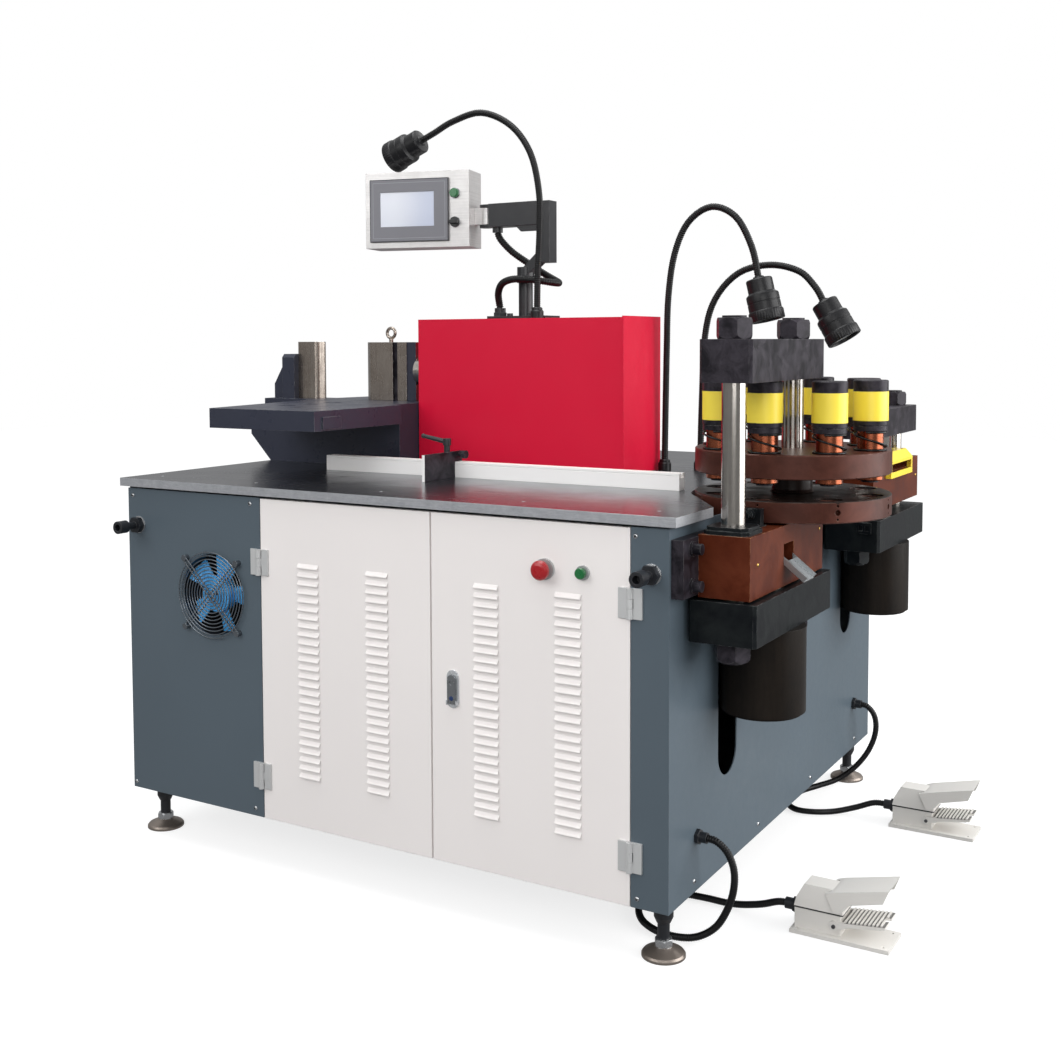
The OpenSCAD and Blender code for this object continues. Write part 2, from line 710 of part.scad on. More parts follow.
// Pipe sockets at the front corners and the cord glands on the right side
module wall_fittings() {
    color("#26272a") place() {
        for (k = [-1, 1]) translate([k * (half_w - 37), -half_d, table_z - 115]) rotate([90, 0, 0]) difference() {
            union() {
                cylinder(d = 42, h = 3);
                cylinder(d = 36 / cos(30), h = 17, $fn = 6);
                cylinder(d = 18, h = fitting_l);
                translate([0, 0, fitting_l - 26]) cylinder(d = 31, h = 26);
            }
            translate([0, 0, fitting_l - 22]) cylinder(d = 17, h = 30);
        }
        for (i = [0, 1]) translate([half_w, gland_y[i], gland_z[i]]) rotate([0, 90, 0]) {
            cylinder(d = 28 / cos(30), h = 8, $fn = 6);
            cylinder(d = 22, h = gland_l);
        }
    }
}

// Press

// Forged block bolted to the cabinet's side; the columns slide through it and its piston stands in the cylinder
module press_block() {
    x0 = press_x - block_w / 2;
    x1 = press_x + block_w / 2;
    y0 = frame_y - block_l / 2;
    y1 = frame_y + block_l / 2;
    rim_y = turret_y - turret_r;
    color("saddlebrown") place() {
        difference() {
            union() {
                span([x0, x1], [y0, y1], [block_z0, block_z1]);
                // Mounting plate against the cabinet's side
                span([half_w, x0 + 1], [y0 - 72, y1 + 20], [block_z0 + 6, block_z1 - 4]);
                // Flange of the guide bush and the turret's thrust ring
                flange(press_x, col_front, [block_z1 - 1, block_z1 + 8], column_d + 48, column_d + 44);
                flange(press_x, col_front, [block_z1 + 7, block_z1 + 15], column_d + 40, column_d + 34);
                bar_z(press_x, turret_y, [block_z1 - 1, lower_z0], column_d + 56);
                // Bracket of the turret's index plunger
                span([press_x - 22, press_x + 22], [rim_y - 40, rim_y - 22], [block_z1 - 1, lower_z0 + 0.75 * lower_t]);
                span([press_x - 22, press_x + 22], [rim_y - 40, rim_y - 6], [block_z1 - 1, block_z1 + 2]);
            }
            for (y = [col_front, turret_y]) bar_z(press_x, y, [block_z0 - 1, lower_z0 + 20], column_d + 2 * fit);
            // Slug hole and the window it drops to
            bar_z(press_x, press_y, [block_z1 - 60, block_z1 + 1], tip_d + 8);
            span([press_x - tip_d / 2 - 4, x1 + 1], [press_y - 30, press_y + 30], [block_z1 - 80, block_z1 - 38]);
        }
        // Slug chute below the window: a bent sheet with raised sides
        plate_xz([[x1 - 1, block_z1 - 80], [x1 + 42, block_z1 - 114], [x1 + 44, block_z1 - 112], [x1 - 1, block_z1 - 76]],
            [press_y - 29, press_y + 29]);
        for (y = [press_y - 29, press_y + 26.5]) plate_xz([[x1 - 1, block_z1 - 79], [x1 + 42, block_z1 - 113],
            [x1 + 50, block_z1 - 104], [x1 - 1, block_z1 - 64]], [y, y + 2.5]);
        // Mounting bolts
        for (z = [block_z0 + 27, block_z1 - 25], y = [y0 - 30]) {
            bar_x([x0, x0 + 5], y, z, 30);
            bar_x([x0 + 4, x0 + 22], y, z, 22);
        }
        // Index plunger
        bar_y(press_x, [rim_y - 54, rim_y - 12], lower_z0 + lower_t / 2, 20);
        bar_y(press_x, [rim_y - 13, rim_y - 1], lower_z0 + lower_t / 2, 11);
        bar_y(press_x, [rim_y - 66, rim_y - 53], lower_z0 + lower_t / 2, 14);
        // Piston and rod
        bar_z(press_x, press_y, [yoke_z0 - 90, block_z0 + 1], piston_rod_d);
        bar_z(press_x, press_y, [yoke_z0 - 120, yoke_z0 - 90], piston_d - 2 * fit);
    }
}

// Flat flange with chamfered corners
module flange(x, y, z, w, l) {
    c = 12;
    translate([x, y, z[0]]) linear_extrude(z[1] - z[0]) polygon([for (q = [[1, 1], [-1, 1], [-1, -1], [1, -1]], k = [0, 1])
        let (m = q[0] * q[1] > 0 ? k : 1 - k) [q[0] * (w / 2 - c * m), q[1] * (l / 2 - c * (1 - m))]]);
}

// Hexagon nut with its corners turned off at both faces
module nut_z(x, y, z, af) {
    h = z[1] - z[0];
    r = af / 2 / cos(30);
    intersection() {
        hex_z(x, y, z, af);
        translate([x, y, z[0]]) rotate_extrude() polygon([[0, 0], [af / 2, 0], [r + 0.5, 0.12 * af], [r + 0.5, h - 0.12 * af],
            [af / 2, h], [0, h]]);
    }
}

// Beam with chamfered upright edges, bored for its two columns
module beam(x, y, w, l, z, d, pitch) {
    c = 6;
    difference() {
        translate([x, y, z[0]]) linear_extrude(z[1] - z[0]) polygon([[-w / 2 + c, -l / 2], [w / 2 - c, -l / 2],
            [w / 2, -l / 2 + c], [w / 2, l / 2 - c], [w / 2 - c, l / 2], [-w / 2 + c, l / 2], [-w / 2, l / 2 - c],
            [-w / 2, -l / 2 + c]]);
        for (k = [-1, 1]) bar_z(x, y + k * pitch / 2, [z[0] - 1, z[1] + 1], d);
    }
}

module press_beam() {
    color("#2c2c30") place() beam(press_x, frame_y, block_w + 2, block_l, [beam_z0, beam_z1], column_d, column_pitch);
}

// Ground columns with a nut above the top beam and one under the lower beam
module press_columns() {
    color("gainsboro") place() for (y = [col_front, turret_y]) {
        bar_z(press_x, y, [yoke_z0 - nut_h, beam_z1 + nut_h], column_d);
        nut_z(press_x, y, [yoke_z0 - nut_h + 4, yoke_z0], nut_af);
        nut_z(press_x, y, [beam_z1, beam_z1 + nut_h - 4], nut_af);
    }
}

module press_yoke() {
    color("#343a3a") place() difference() {
        beam(press_x, frame_y, yoke_w, yoke_l, [yoke_z0, yoke_z1], column_d, column_pitch);
        bar_z(press_x, press_y, [yoke_z0 - 1, yoke_z1 + 1], piston_rod_d + 2 * fit);
    }
}

// Cylinder pot hung under a lower beam
module pot(x, y, z1, l, d) {
    difference() {
        union() {
            bar_z(x, y, [z1 - l, z1], d);
            bar_z(x, y, [z1 - l - 6, z1 - l + 1], d - 16);
        }
        bar_z(x, y, [z1 - l + cyl_wall_t, z1 + 1], piston_d);
    }
}

module press_cylinder() {
    color("#303030") place() pot(press_x, press_y, yoke_z0, press_cyl_l, press_cyl_d);
}

// Turret

module station_holes(z, d) {
    for (a = [0 : 45 : 315]) translate([press_x, turret_y, 0]) rotate([0, 0, a - 90])
        bar_z(station_r, 0, z, d);
}

module upper_disc() {
    color("#5a3a34") place() difference() {
        translate([press_x, turret_y, upper_z0]) rotate_extrude($fn = 96) polygon([[column_d / 2 + fit, 0], [turret_r - 2, 0],
            [turret_r, 2], [turret_r, upper_t - 2], [turret_r - 2, upper_t], [column_d / 2 + fit, upper_t]]);
        station_holes([upper_z0 - 1, upper_z1 + 1], stem_d + 2 * fit);
    }
}

// Lower disc with its hub, die holes and the index holes in its rim
module lower_disc() {
    color("#5a3a34") place() difference() {
        translate([press_x, turret_y, lower_z0]) rotate_extrude($fn = 96) polygon([[column_d / 2 + fit, 0], [turret_r - 2, 0],
            [turret_r, 2], [turret_r, lower_t - 2], [turret_r - 2, lower_t], [column_d / 2 + 24, lower_t],
            [column_d / 2 + 20, lower_t + 6], [column_d / 2 + 20, lower_t + throat], [column_d / 2 + fit, lower_t + throat]]);
        station_holes([lower_z0 - 1, lower_z1 + 1], tip_d + 1);
        station_holes([lower_z1 - 3, lower_z1 + 1], tip_d + 22);
        for (a = [0 : 45 : 315]) translate([press_x, turret_y, lower_z0 + lower_t / 2]) rotate([0, 0, a - 90])
            rotate([0, 90, 0]) {
                translate([0, 0, turret_r - 14]) cylinder(d = 12.4, h = 20);
                for (k = [-1, 1]) translate([k * 14, 0, turret_r - 10]) cylinder(d = 5, h = 20);
            }
    }
}

// Punch: cap, marked sleeve, threaded ring, stem and cutting tip
module punch(i) {
    place() translate([press_x, turret_y, 0]) rotate([0, 0, (i - 1) * 45 - 90]) translate([station_r, 0, 0])
        color("gold") rotate_extrude() polygon([[0, upper_z0 - tip_reach], [tip_d / 2, upper_z0 - tip_reach],
            [tip_d / 2, upper_z0 - tip_reach + 4], [stem_d / 2 - 2, upper_z0 - tip_reach + 4],
            [stem_d / 2, upper_z0 - tip_reach + 6], [stem_d / 2, ring_z0], [punch_d / 2 - 2.5, ring_z0],
            [punch_d / 2 - 1.5, ring_z0 + 1], [punch_d / 2 - 1.5, ring_z0 + ring_h / 2], [punch_d / 2 - 3, ring_z0 + ring_h / 2],
            [punch_d / 2 - 3, ring_z0 + ring_h / 2 + 2], [punch_d / 2 - 0.5, ring_z0 + ring_h / 2 + 2],
            [punch_d / 2 - 0.5, ring_z0 + ring_h], [punch_d / 2, ring_z0 + ring_h],
            [punch_d / 2, cap_z1 - cap_h], [punch_d / 2 - 0.5, cap_z1 - cap_h], [punch_d / 2 - 0.5, cap_z1 - 2],
            [punch_d / 2 - 2.5, cap_z1], [0, cap_z1]]);
}
module punch_1() { punch(1); }
module punch_2() { punch(2); }
module punch_3() { punch(3); }
module punch_4() { punch(4); }
module punch_5() { punch(5); }
module punch_6() { punch(6); }
module punch_7() { punch(7); }
module punch_8() { punch(8); }

// Stripper springs between the upper disc and the punches' rings
module punch_springs() {
    turns = 2.5;
    steps = 30;
    r = (punch_d - spring_wire) / 2 - 1;
    z0 = upper_z1 + spring_wire / 2;
    rise = spring_h - spring_wire;
    coil = [for (i = [0 : steps]) let (t = i / steps, a = 360 * turns * t)
        [r * cos(a), r * sin(a), z0 + rise * min(1, max(0, (t * 1.3 - 0.15)))]];
    color("#202022") place() translate([press_x, turret_y, 0]) for (a = [0 : 45 : 315]) rotate([0, 0, a - 90])
        translate([station_r, 0, 0]) swept(coil, spring_wire, 6, [[0, 1, 0], unit(coil[steps] - coil[steps - 1])]);
}

// Shear

module shear_block() {
    x0 = shear_x - block_w / 2;
    x1 = shear_x + block_w / 2;
    y0 = shear_y - shear_l / 2;
    y1 = shear_y + shear_l / 2;
    color("saddlebrown") place() {
        difference() {
            union() {
                span([x0, x1], [y0, y1], [shear_z0, shear_z1]);
                span([half_w, x0 + 1], [y0, y1], [shear_z0 - 10, table_zu - 6]);
                for (k = [-1, 1]) bar_z(shear_x, shear_y + k * shear_pitch / 2, [shear_z1 - 1, shear_z1 + 12],
                    shear_column_d + 30);
            }
            for (k = [-1, 1]) bar_z(shear_x, shear_y + k * shear_pitch / 2, [shear_z0 - 11, shear_z1 + 13],
                shear_column_d + 2 * fit);
            // Bar slot and the pocket that the blade drops into
            span([x0 - 1, x1 + 1], [shear_y - shear_slot / 2, shear_y + shear_slot / 2], [table_z, shear_z1 + 1]);
            span([shear_x - blade_t / 2 - 0.5, shear_x + blade_t / 2 + 0.5],
                [shear_y - shear_slot / 2 + 1.5, shear_y + shear_slot / 2 - 1.5], [table_z - 36, table_z + 1]);
        }
        // Feed guide on the worktop: a stack of slide plates beside the slot
        for (i = [0 : 2]) span([330 + i * 6, table_x - 6], [shear_y + shear_slot / 2 + 8, shear_y + shear_slot / 2 + 44 - i * 8],
            [table_z + i * 17, table_z + i * 17 + 15.5]);
        span([336, table_x - 10], [shear_y + shear_slot / 2 + 10, shear_y + shear_slot / 2 + 22], [table_z, table_z + 49]);
        // Piston and rod
        bar_z(shear_x, shear_y, [shear_yoke_z0 - 90, shear_z0 + 1], piston_rod_d);
        bar_z(shear_x, shear_y, [shear_yoke_z0 - 120, shear_yoke_z0 - 90], piston_d - 2 * fit);
    }
}

// Yellow hood over the slot's outlet
module shear_guard() {
    x1 = shear_x + block_w / 2;
    y0 = shear_y - shear_slot / 2 - 4;
    y1 = shear_y + shear_slot / 2 + 4;
    color("gold") place() {
        difference() {
            plate_xz([[x1 - 34, shear_z1 + 28], [x1 - 4, shear_z1 + 28], [x1 + 14, shear_z1 + 8], [x1 + 14, table_z - 16],
                [x1 + 11, table_z - 16], [x1 + 11, shear_z1 + 7], [x1 - 5.5, shear_z1 + 25], [x1 - 34, shear_z1 + 25]], [y0, y1]);
            span([x1 + 5, x1 + 20], [y0 + 10, y1 - 10], [table_z - 1, shear_z1]);
        }
        for (y = [y0, y1 - 3]) plate_xz([[x1, table_z - 16], [x1 + 13, table_z - 16], [x1 + 13, shear_z1 + 8],
            [x1 - 4.5, shear_z1 + 27], [x1 - 34, shear_z1 + 27], [x1 - 34, shear_z1 + 3], [x1, shear_z1 + 3]], [y, y + 3]);
    }
}

// Moving frame of the shear: two beams, two columns and the upper blade
module shear_frame() {
    color("#343a3a") place() {
        beam(shear_x, shear_y, block_w - 8, shear_l, [shear_beam_z0, shear_beam_z1], shear_column_d - 0.02, shear_pitch);
        difference() {
            beam(shear_x, shear_y, yoke_w, shear_l + 4, [shear_yoke_z0, shear_yoke_z1], shear_column_d - 0.02, shear_pitch);
            bar_z(shear_x, shear_y, [shear_yoke_z0 - 1, shear_yoke_z1 + 1], piston_rod_d + 2 * fit);
        }
        // Socket plate on the lower beam's front
        difference() {
            span([shear_x + 14, shear_x + 50], [shear_y - shear_l / 2 - 5, shear_y - shear_l / 2 + 1], [shear_yoke_z0 + 46, shear_yoke_z0 + 74]);
            for (x = [19, 35]) span([shear_x + x, shear_x + x + 10], [shear_y - shear_l / 2 - 6, shear_y - shear_l / 2 - 3],
                [shear_yoke_z0 + 53, shear_yoke_z0 + 67]);
        }
        for (k = [-1, 1]) {
            y = shear_y + k * shear_pitch / 2;
            bar_z(shear_x, y, [shear_yoke_z0 - shear_nut_h, shear_beam_z1 + shear_nut_h], shear_column_d);
            nut_z(shear_x, y, [shear_yoke_z0 - shear_nut_h + 4, shear_yoke_z0], 1.4 * shear_column_d);
            nut_z(shear_x, y, [shear_beam_z1, shear_beam_z1 + shear_nut_h - 4], 1.4 * shear_column_d);
        }
        plate_yz([[shear_y - shear_slot / 2 + 2, shear_beam_z0 + 1], [shear_y + shear_slot / 2 - 2, shear_beam_z0 + 1],
            [shear_y + shear_slot / 2 - 2, shear_z1 + 4], [shear_y - shear_slot / 2 + 2, shear_z1 + 10]],
            [shear_x - blade_t / 2, shear_x + blade_t / 2]);
    }
}

module shear_cylinder() {
    color("#303030") place() pot(shear_x, shear_y, shear_yoke_z0, press_cyl_l, shear_cyl_d);
}

// Bending unit

// Welded bed: pedestal, long bed plate with three slots, and the buttress behind the fixed die
module bending_bed() {
    color("#43464d") place() {
        plate_xz([[-table_x + 2, table_z], [-table_x - 70, bed_zu - 46], [-table_x - 70, bed_zu + 1], [cover_x0 - 3, bed_zu + 1],
            [cover_x0 - 3, table_z]], [bend_y - 190, bend_y + 190]);
        difference() {
            translate([0, 0, bed_zu]) linear_extrude(bed_t) union() {
                polygon([[bed_x0, bed_y0], [bed_x1, bed_y0], [bed_x1, bend_y - 223], [cover_x0 - 3, bend_y - 210],
                    [cover_x0 - 3, bend_y + 210], [bed_x1, bend_y + 223], [bed_x1, bed_y1], [bed_x0, bed_y1],
                    [bed_x0 - 104, bend_y]]);
                translate([bend_left, bend_y - 52]) square([bed_x0 - bend_left, 104]);
            }
            for (y = [-382, -290, -195]) for (x = [-22, 22])
                bar_z(bed_x0 + 88 + x, bend_y + y, [bed_zu - 1, bed_z + 1], 20);
            for (y = [-382, -290, -195]) span([bed_x0 + 66, bed_x0 + 110], [bend_y + y - 10, bend_y + y + 10], [bed_zu - 1, bed_z + 1]);
        }
        // Buttress plate with a rib behind it
        plate_yz([[bend_y - 45, bed_z - 1], [bend_y + 45, bed_z - 1], [bend_y + 45, bed_z + 122], [bend_y + 36, bed_z + 132],
            [bend_y - 36, bed_z + 132], [bend_y - 45, bed_z + 122]], [die_x0 - 46, die_x0]);
        plate_xz([[buttress_x0, bed_z - 1], [die_x0 - 45, bed_z - 1], [die_x0 - 45, bed_z + 130], [die_x0 - 52, bed_z + 130],
            [buttress_x0, bed_z + 42]], [bend_y - 12, bend_y + 12]);
        // Small bar rest screwed to the bed's edge
        span([bed_x1 - 1, bed_x1 + 4], [bed_y0 + 28, bed_y0 + 98], [bed_zu + 4, bed_zu + 34]);
    }
}

// Fixed die with a vee along its working face
module bending_die() {
    color("lightgray") place() translate([0, 0, bed_z]) linear_extrude(tool_h) polygon([
        [die_x0, bend_y - tool_w / 2], [die_x1 - 3, bend_y - tool_w / 2], [die_x1, bend_y - tool_w / 2 + 3],
        [die_x1, bend_y - 15], [die_x1 - 22, bend_y], [die_x1, bend_y + 15], [die_x1, bend_y + tool_w / 2 - 3],
        [die_x1 - 3, bend_y + tool_w / 2], [die_x0, bend_y + tool_w / 2]]);
}

// Ram: nosed punch, holder with its lifting eye, clamp plate, head and shaft with the piston
module bending_ram() {
    z0 = bed_z + 0.3;
    z1 = bed_z + tool_h - 2;
    h = tool_w / 2;
    n = punch_nose_x;
    color("lightgray") place() {
        translate([0, 0, z0]) linear_extrude(z1 - z0) union() {
            polygon([[n, bend_y - 2], [n + 26, bend_y - h], [n + 60, bend_y - h], [n + 60, bend_y + h], [n + 26, bend_y + h], [n, bend_y + 2]]);
            translate([n + 59, bend_y - h - 3]) square([49, 2 * h + 6]);
            translate([n + 107, bend_y - h + 6]) square([20, 2 * h - 12]);
            translate([n + 126, bend_y - h - 5]) square([32, 2 * h + 10]);
            translate([n + 157, bend_y - h - 2]) square([31, 2 * h + 4]);
        }
        // Lifting eye
        bar_z(n + 83, bend_y, [z1 - 1, z1 + 10], 12);
        translate([n + 83, bend_y, z1 + 26]) rotate([90, 0, 0]) rotate_extrude() translate([14, 0]) circle(d = 9);
        bar_x([ram_head_x - 1, ram_head_x + 556], bend_y, ram_z, ram_d);
        bar_x([ram_head_x + 555, ram_head_x + 590], bend_y, ram_z, 1.4 * ram_d);
    }
}

// Cylinder under the cover, on two saddles
module bending_cylinder() {
    x0 = cover_x0 + 65;
    x1 = x0 + 490;
    color("#303030") place() {
        difference() {
            union() {
                bar_x([x0, x1], bend_y, ram_z, bend_cyl_d);
                for (x = [x0 + 40, x1 - 90]) span([x, x + 50], [bend_y - 60, bend_y + 60], [table_z, ram_z]);
            }
            bar_x([x0 - 1, x0 + 40], bend_y, ram_z, ram_d + 2 * fit);
            bar_x([x0 + 30, x1 - 20], bend_y, ram_z, 1.4 * ram_d + 2 * fit);
        }
    }
}

// Folded cover with an end plate that stands a little proud
module cylinder_cover() {
    color("crimson") place() difference() {
        union() {
            span([cover_x0, cover_x1], [cover_y0, cover_y1], [table_z, cover_z1]);
            span([cover_x1 - 1, cover_x1 + 3], [cover_y0 - 3, cover_y1 + 3], [table_z, cover_z1 + 3]);
        }
        span([cover_x0 + sheet, cover_x1 - sheet], [cover_y0 + sheet, cover_y1 - sheet], [table_z - 1, cover_z1 - sheet]);
        span([cover_x0 - 1, cover_x0 + sheet + 1], [bend_y - ram_d / 2 - 8, bend_y + ram_d / 2 + 8],
            [ram_z - ram_d / 2 - 8, ram_z + ram_d / 2 + 8]);
    }
}

// Fence

// Extruded rail with a clamping groove in its top
module fence_rail() {
    t = fence_t;
    h = fence_h;
    color("whitesmoke") place() translate([0, fence_y, table_z]) plate_yz([[0, 0], [t, 0], [t, h], [t / 2 + 4.5, h],
        [t / 2 + 4.5, h - 4], [t / 2 + 8, h - 4], [t / 2 + 8, h - 11], [t / 2 - 8, h - 11], [t / 2 - 8, h - 4],
        [t / 2 - 4.5, h - 4], [t / 2 - 4.5, h], [0, h], [0, h - 5], [0.8, h - 5.5], [0.8, h - 6.5], [0, h - 7]],
        [fence_x0, fence_x0 + fence_l]);
}

// Length stop: a plate across the fence, a clamp block on the rail and a set screw
module stop_bracket() {
    z1 = table_z + fence_h;
    color("#36363a") place() {
        span([stop_x - 8, stop_x], [fence_y - stop_l, fence_y - 0.3], [table_z + 0.3, z1 + 26]);
        difference() {
            span([stop_x - 62, stop_x], [fence_y - 4, fence_y + fence_t + 2], [z1, z1 + 14]);
            bar_z(stop_x - 34, fence_y + fence_t / 2, [z1 - 1, z1 + 15], 8 + 2 * fit);
        }
        span([stop_x - 8, stop_x], [fence_y - 4, fence_y + fence_t + 2], [z1, z1 + 26]);
        bar_x([stop_x - 1, stop_x + 12], fence_y + fence_t / 2, z1 + 18, 8);
        bar_x([stop_x + 11, stop_x + 24], fence_y + fence_t / 2, z1 + 18, 20);
    }
}

// Ratchet lever on the stop's clamp screw
module clamp_lever() {
    z = table_z + fence_h + 14;
    x = stop_x - 34;
    y = fence_y + fence_t / 2;
    color("#4a4b50") place() {
        bar_z(x, y, [z - 24, z + 1], 8);
        bar_z(x, y, [z - 24.5, z - 18.5], 13);
        bar_z(x, y, [z + 0.3, z + 26], 16);
        bar_z(x, y, [z + 25, z + 42], 21);
        aim([x, y, z + 33], [-72, 0, 13]) cylinder(d1 = 13, d2 = 10, h = 74);
        translate([x - 72, y, z + 46]) sphere(d = 12);
    }
}

// Screen arm

// Foot plate on the cover, post with a spigot, and the conduit's connectors
module arm_base() {
    z = cover_z1;
    color("#2a2a2c") place() {
        span([post_x - 98, post_x + 82], [post_y - 40, post_y + 40], [z, z + 8]);
        bar_z(post_x, post_y, [z + 7, post_z1], post_d);
        bar_z(post_x, post_y, [post_z1 - 1, post_z1 + 30], 24);
        for (x = [post_x - 34, post_x + 34]) hex_z(x, post_y - 26, [z + 7, z + 15], 16);
        bar_z(-92, 42, [z + 7, z + 30], 30);
        hex_z(-92, 42, [z + 7, z + 18], 34);
    }
}

// Swivelling arm: socket, slanted link, upright bracket and the boom with its fork
module arm_boom() {
    z0 = boom_z0;
    z1 = boom_z0 + boom_h;
    brace_x = post_x + 50;
    color("#3a3b3e") place() {
        difference() {
            union() {
                bar_z(post_x, post_y, [post_z1 + 0.3, post_z1 + 42], post_d + 8);
                plate_xz([[post_x, post_z1 + 10], [brace_x + 2, post_z1 + 52], [brace_x + 2, post_z1 + 88], [post_x, post_z1 + 41]],
                    [post_y - 15, post_y + 15]);
            }
            bar_z(post_x, post_y, [post_z1 - 1, post_z1 + 31], 24 + 2 * fit);
        }
        span([brace_x, brace_x + 34], [post_y - 20, post_y + 20], [post_z1 + 52, z1]);
        // Channel-section boom with a gusset below
        difference() {
            span([pan_x + 22, brace_x + 1], [post_y - 25, post_y + 25], [z0, z1]);
            span([pan_x + 10, brace_x - 8], [post_y - 25 + boom_wall, post_y + 26], [z0 + boom_wall, z1 - boom_wall]);
        }
        plate_xz([[brace_x - 70, z0 + 1], [brace_x + 1, z0 + 1], [brace_x + 1, z0 - 16], [brace_x - 52, z0 - 16]],
            [post_y - 22, post_y - 14]);
        // Fork and pin for the screen
        for (z = [[z0, z0 + boom_wall], [z1 - boom_wall, z1]]) {
            bar_z(pan_x, post_y, z, 36);
            span([pan_x, pan_x + 23], [post_y - 18, post_y + 18], z);
        }
        bar_z(pan_x, post_y, [z0 + 1, z1 - 1], 12);
        // Conduit gland under the boom
        bar_z(-104, 50, [z0 - 14, z0 + 1], 28);
    }
}

// Puts a piece drawn round the middle of the screen's front face into its place
module on_screen() {
    translate(screen_front) rotate([0, 0, screen_yaw]) children();
}

// Sheet box with a knuckle on its right side that turns on the boom's pin
module hmi_box() {
    w = screen_w / 2;
    h = screen_h / 2;
    gap = 0.5;
    color("#e4e4e4") place() {
        on_screen() difference() {
            span([-w, w], [0, screen_d], [-h, h]);
            span([-w + 2, w - 2], [2, screen_d - 2], [-h + 2, h - 2]);
            for (z = [41, -36]) bar_y(w - 40, [-1, 3], z, 16 + 2 * fit);
        }
        difference() {
            union() {
                bar_z(pan_x, post_y, [boom_z0 + boom_wall + gap, boom_z0 + boom_h - boom_wall - gap], 30);
                translate([pan_x, post_y, 0]) rotate([0, 0, screen_yaw]) span([-34, 0], [-12, 12],
                    [boom_z0 + boom_wall + gap, boom_z0 + boom_h - boom_wall - gap]);
            }
            bar_z(pan_x, post_y, [boom_z0, boom_z0 + boom_h], 12 + 2 * fit);
            on_screen() span([-w + 1, w - 1], [1, screen_d - 1], [-h + 1, h - 1]);
        }
    }
}

// Bezel with the display set back in it
module hmi_panel() {
    w = screen_w / 2;
    color("#4d4e52") place() on_screen() difference() {
        span([-w + 15, w - 57], [-7, 0], [-86, 83]);
        span([-w + 46, w - 98], [-8, -5.5], [-45, 48]);
    }
}

module hmi_button() {
    color("green") place() on_screen() translate([screen_w / 2 - 40, 0, 41]) rotate([90, 0, 0]) {
        translate([0, 0, -10]) cylinder(d = 16, h = 13);
        translate([0, 0, 2]) cylinder(d = 25, h = 7);
        translate([0, 0, 8]) cylinder(d = 20, h = 6);
    }
}

module hmi_selector() {
    color("#222224") place() on_screen() translate([screen_w / 2 - 40, 0, -36]) rotate([90, 0, 0]) {
        translate([0, 0, -10]) cylinder(d = 16, h = 13);
        translate([0, 0, 0.3]) cylinder(d = 27, h = 6);
        translate([-12, -4.5, 5]) cube([24, 9, 12]);
    }
}

module hmi_conduit() {
    color("#1d1d1f") place() swept(smooth(conduit_route, 3), conduit_d, 10, [[0, 0, -1], [0, 0, -1]]);
}

// Lamps

module lamp_necks() {
    color("#1d1d1f") place() for (p = [lamp_1, lamp_2, lamp_3]) {
        swept(smooth(p, 3), neck_d, 10, [[0, 0, 1], unit(p[len(p) - 1] - p[len(p) - 2])]);
        bar_z(p[0][0], p[0][1], [p[0][2] - 26, p[0][2]], 34);
    }
}

// Stepped heads with a grip ring at the front and a recessed lens
module lamp_heads() {
    r = lamp_d / 2;
    color("#232325") place() for (p = [lamp_1, lamp_2, lamp_3]) let (n = len(p)) aim(p[n - 1], p[n - 1] - p[n - 2])
        rotate_extrude() polygon([[0, 0], [neck_d / 2 + 4, 0], [neck_d / 2 + 6, 4], [r - 12, 6], [r - 11, 9], [r - 11, 40], [r - 4, 46],
            [r - 3, 50], [r - 3, lamp_l - 24], [r, lamp_l - 22], [r, lamp_l], [r - 7, lamp_l], [r - 9, lamp_l - 8],
            [0, lamp_l - 8]]);
}

// Pedals

// Cast base, body with a tapered cap, and a canopy that rises over the treadle; the cord's gland is at the back
module pedal_base(p) {
    l = pedal_l;
    w = pedal_w;
    m = w / 2;
    translate([p[0], p[1], 0]) {
        difference() {
            span([0, l], [0, w], [0, 8]);
            for (x = [l - 14, 16], y = [12, w - 12]) bar_z(x, y, [-1, 9], 6);
        }
        span([6, 104], [pedal_side, w - pedal_side], [7, 50]);
        // Cap on the body, with a parting line below it
        span([7, 105], [pedal_side + 1, w - pedal_side - 1], [49, 52]);
        hull() {
            span([5, 110], [pedal_side - 2, w - pedal_side + 2], [51.5, 54]);
            span([9, 104], [pedal_side + 1, w - pedal_side - 1], [53, 72]);
            span([24, 94], [pedal_side + 8, w - pedal_side - 8], [98, 100]);
        }
        // Canopy with its skirts
        difference() {
            plate_xz([[74, 96], [92, 102], [206, 129], [194, 100], [126, 82], [112, 66], [104, 60], [92, 60]], [5, w - 5]);
            plate_xz([[106, 40], [106, 101.5], [210, 126], [210, 40]], [8.5, w - 8.5]);
            plate_xz([[60, 40], [60, 99], [92, 99], [107, 98], [107, 40]], [pedal_side, w - pedal_side]);
        }
        // Pivot pin of the treadle
        bar_y(92, [5, w - 5], 30, 8);
        // Gland
        bar_x([-24, 7], m, pedal_gland_z, 24);
        translate([-6, m, pedal_gland_z]) rotate([0, 90, 0]) cylinder(d = 30 / cos(30), h = 12.5, $fn = 6);
    }
}

module pedal_bases() {
    color("#dedddb") place() for (p = pedal_pos) pedal_base(p);
}

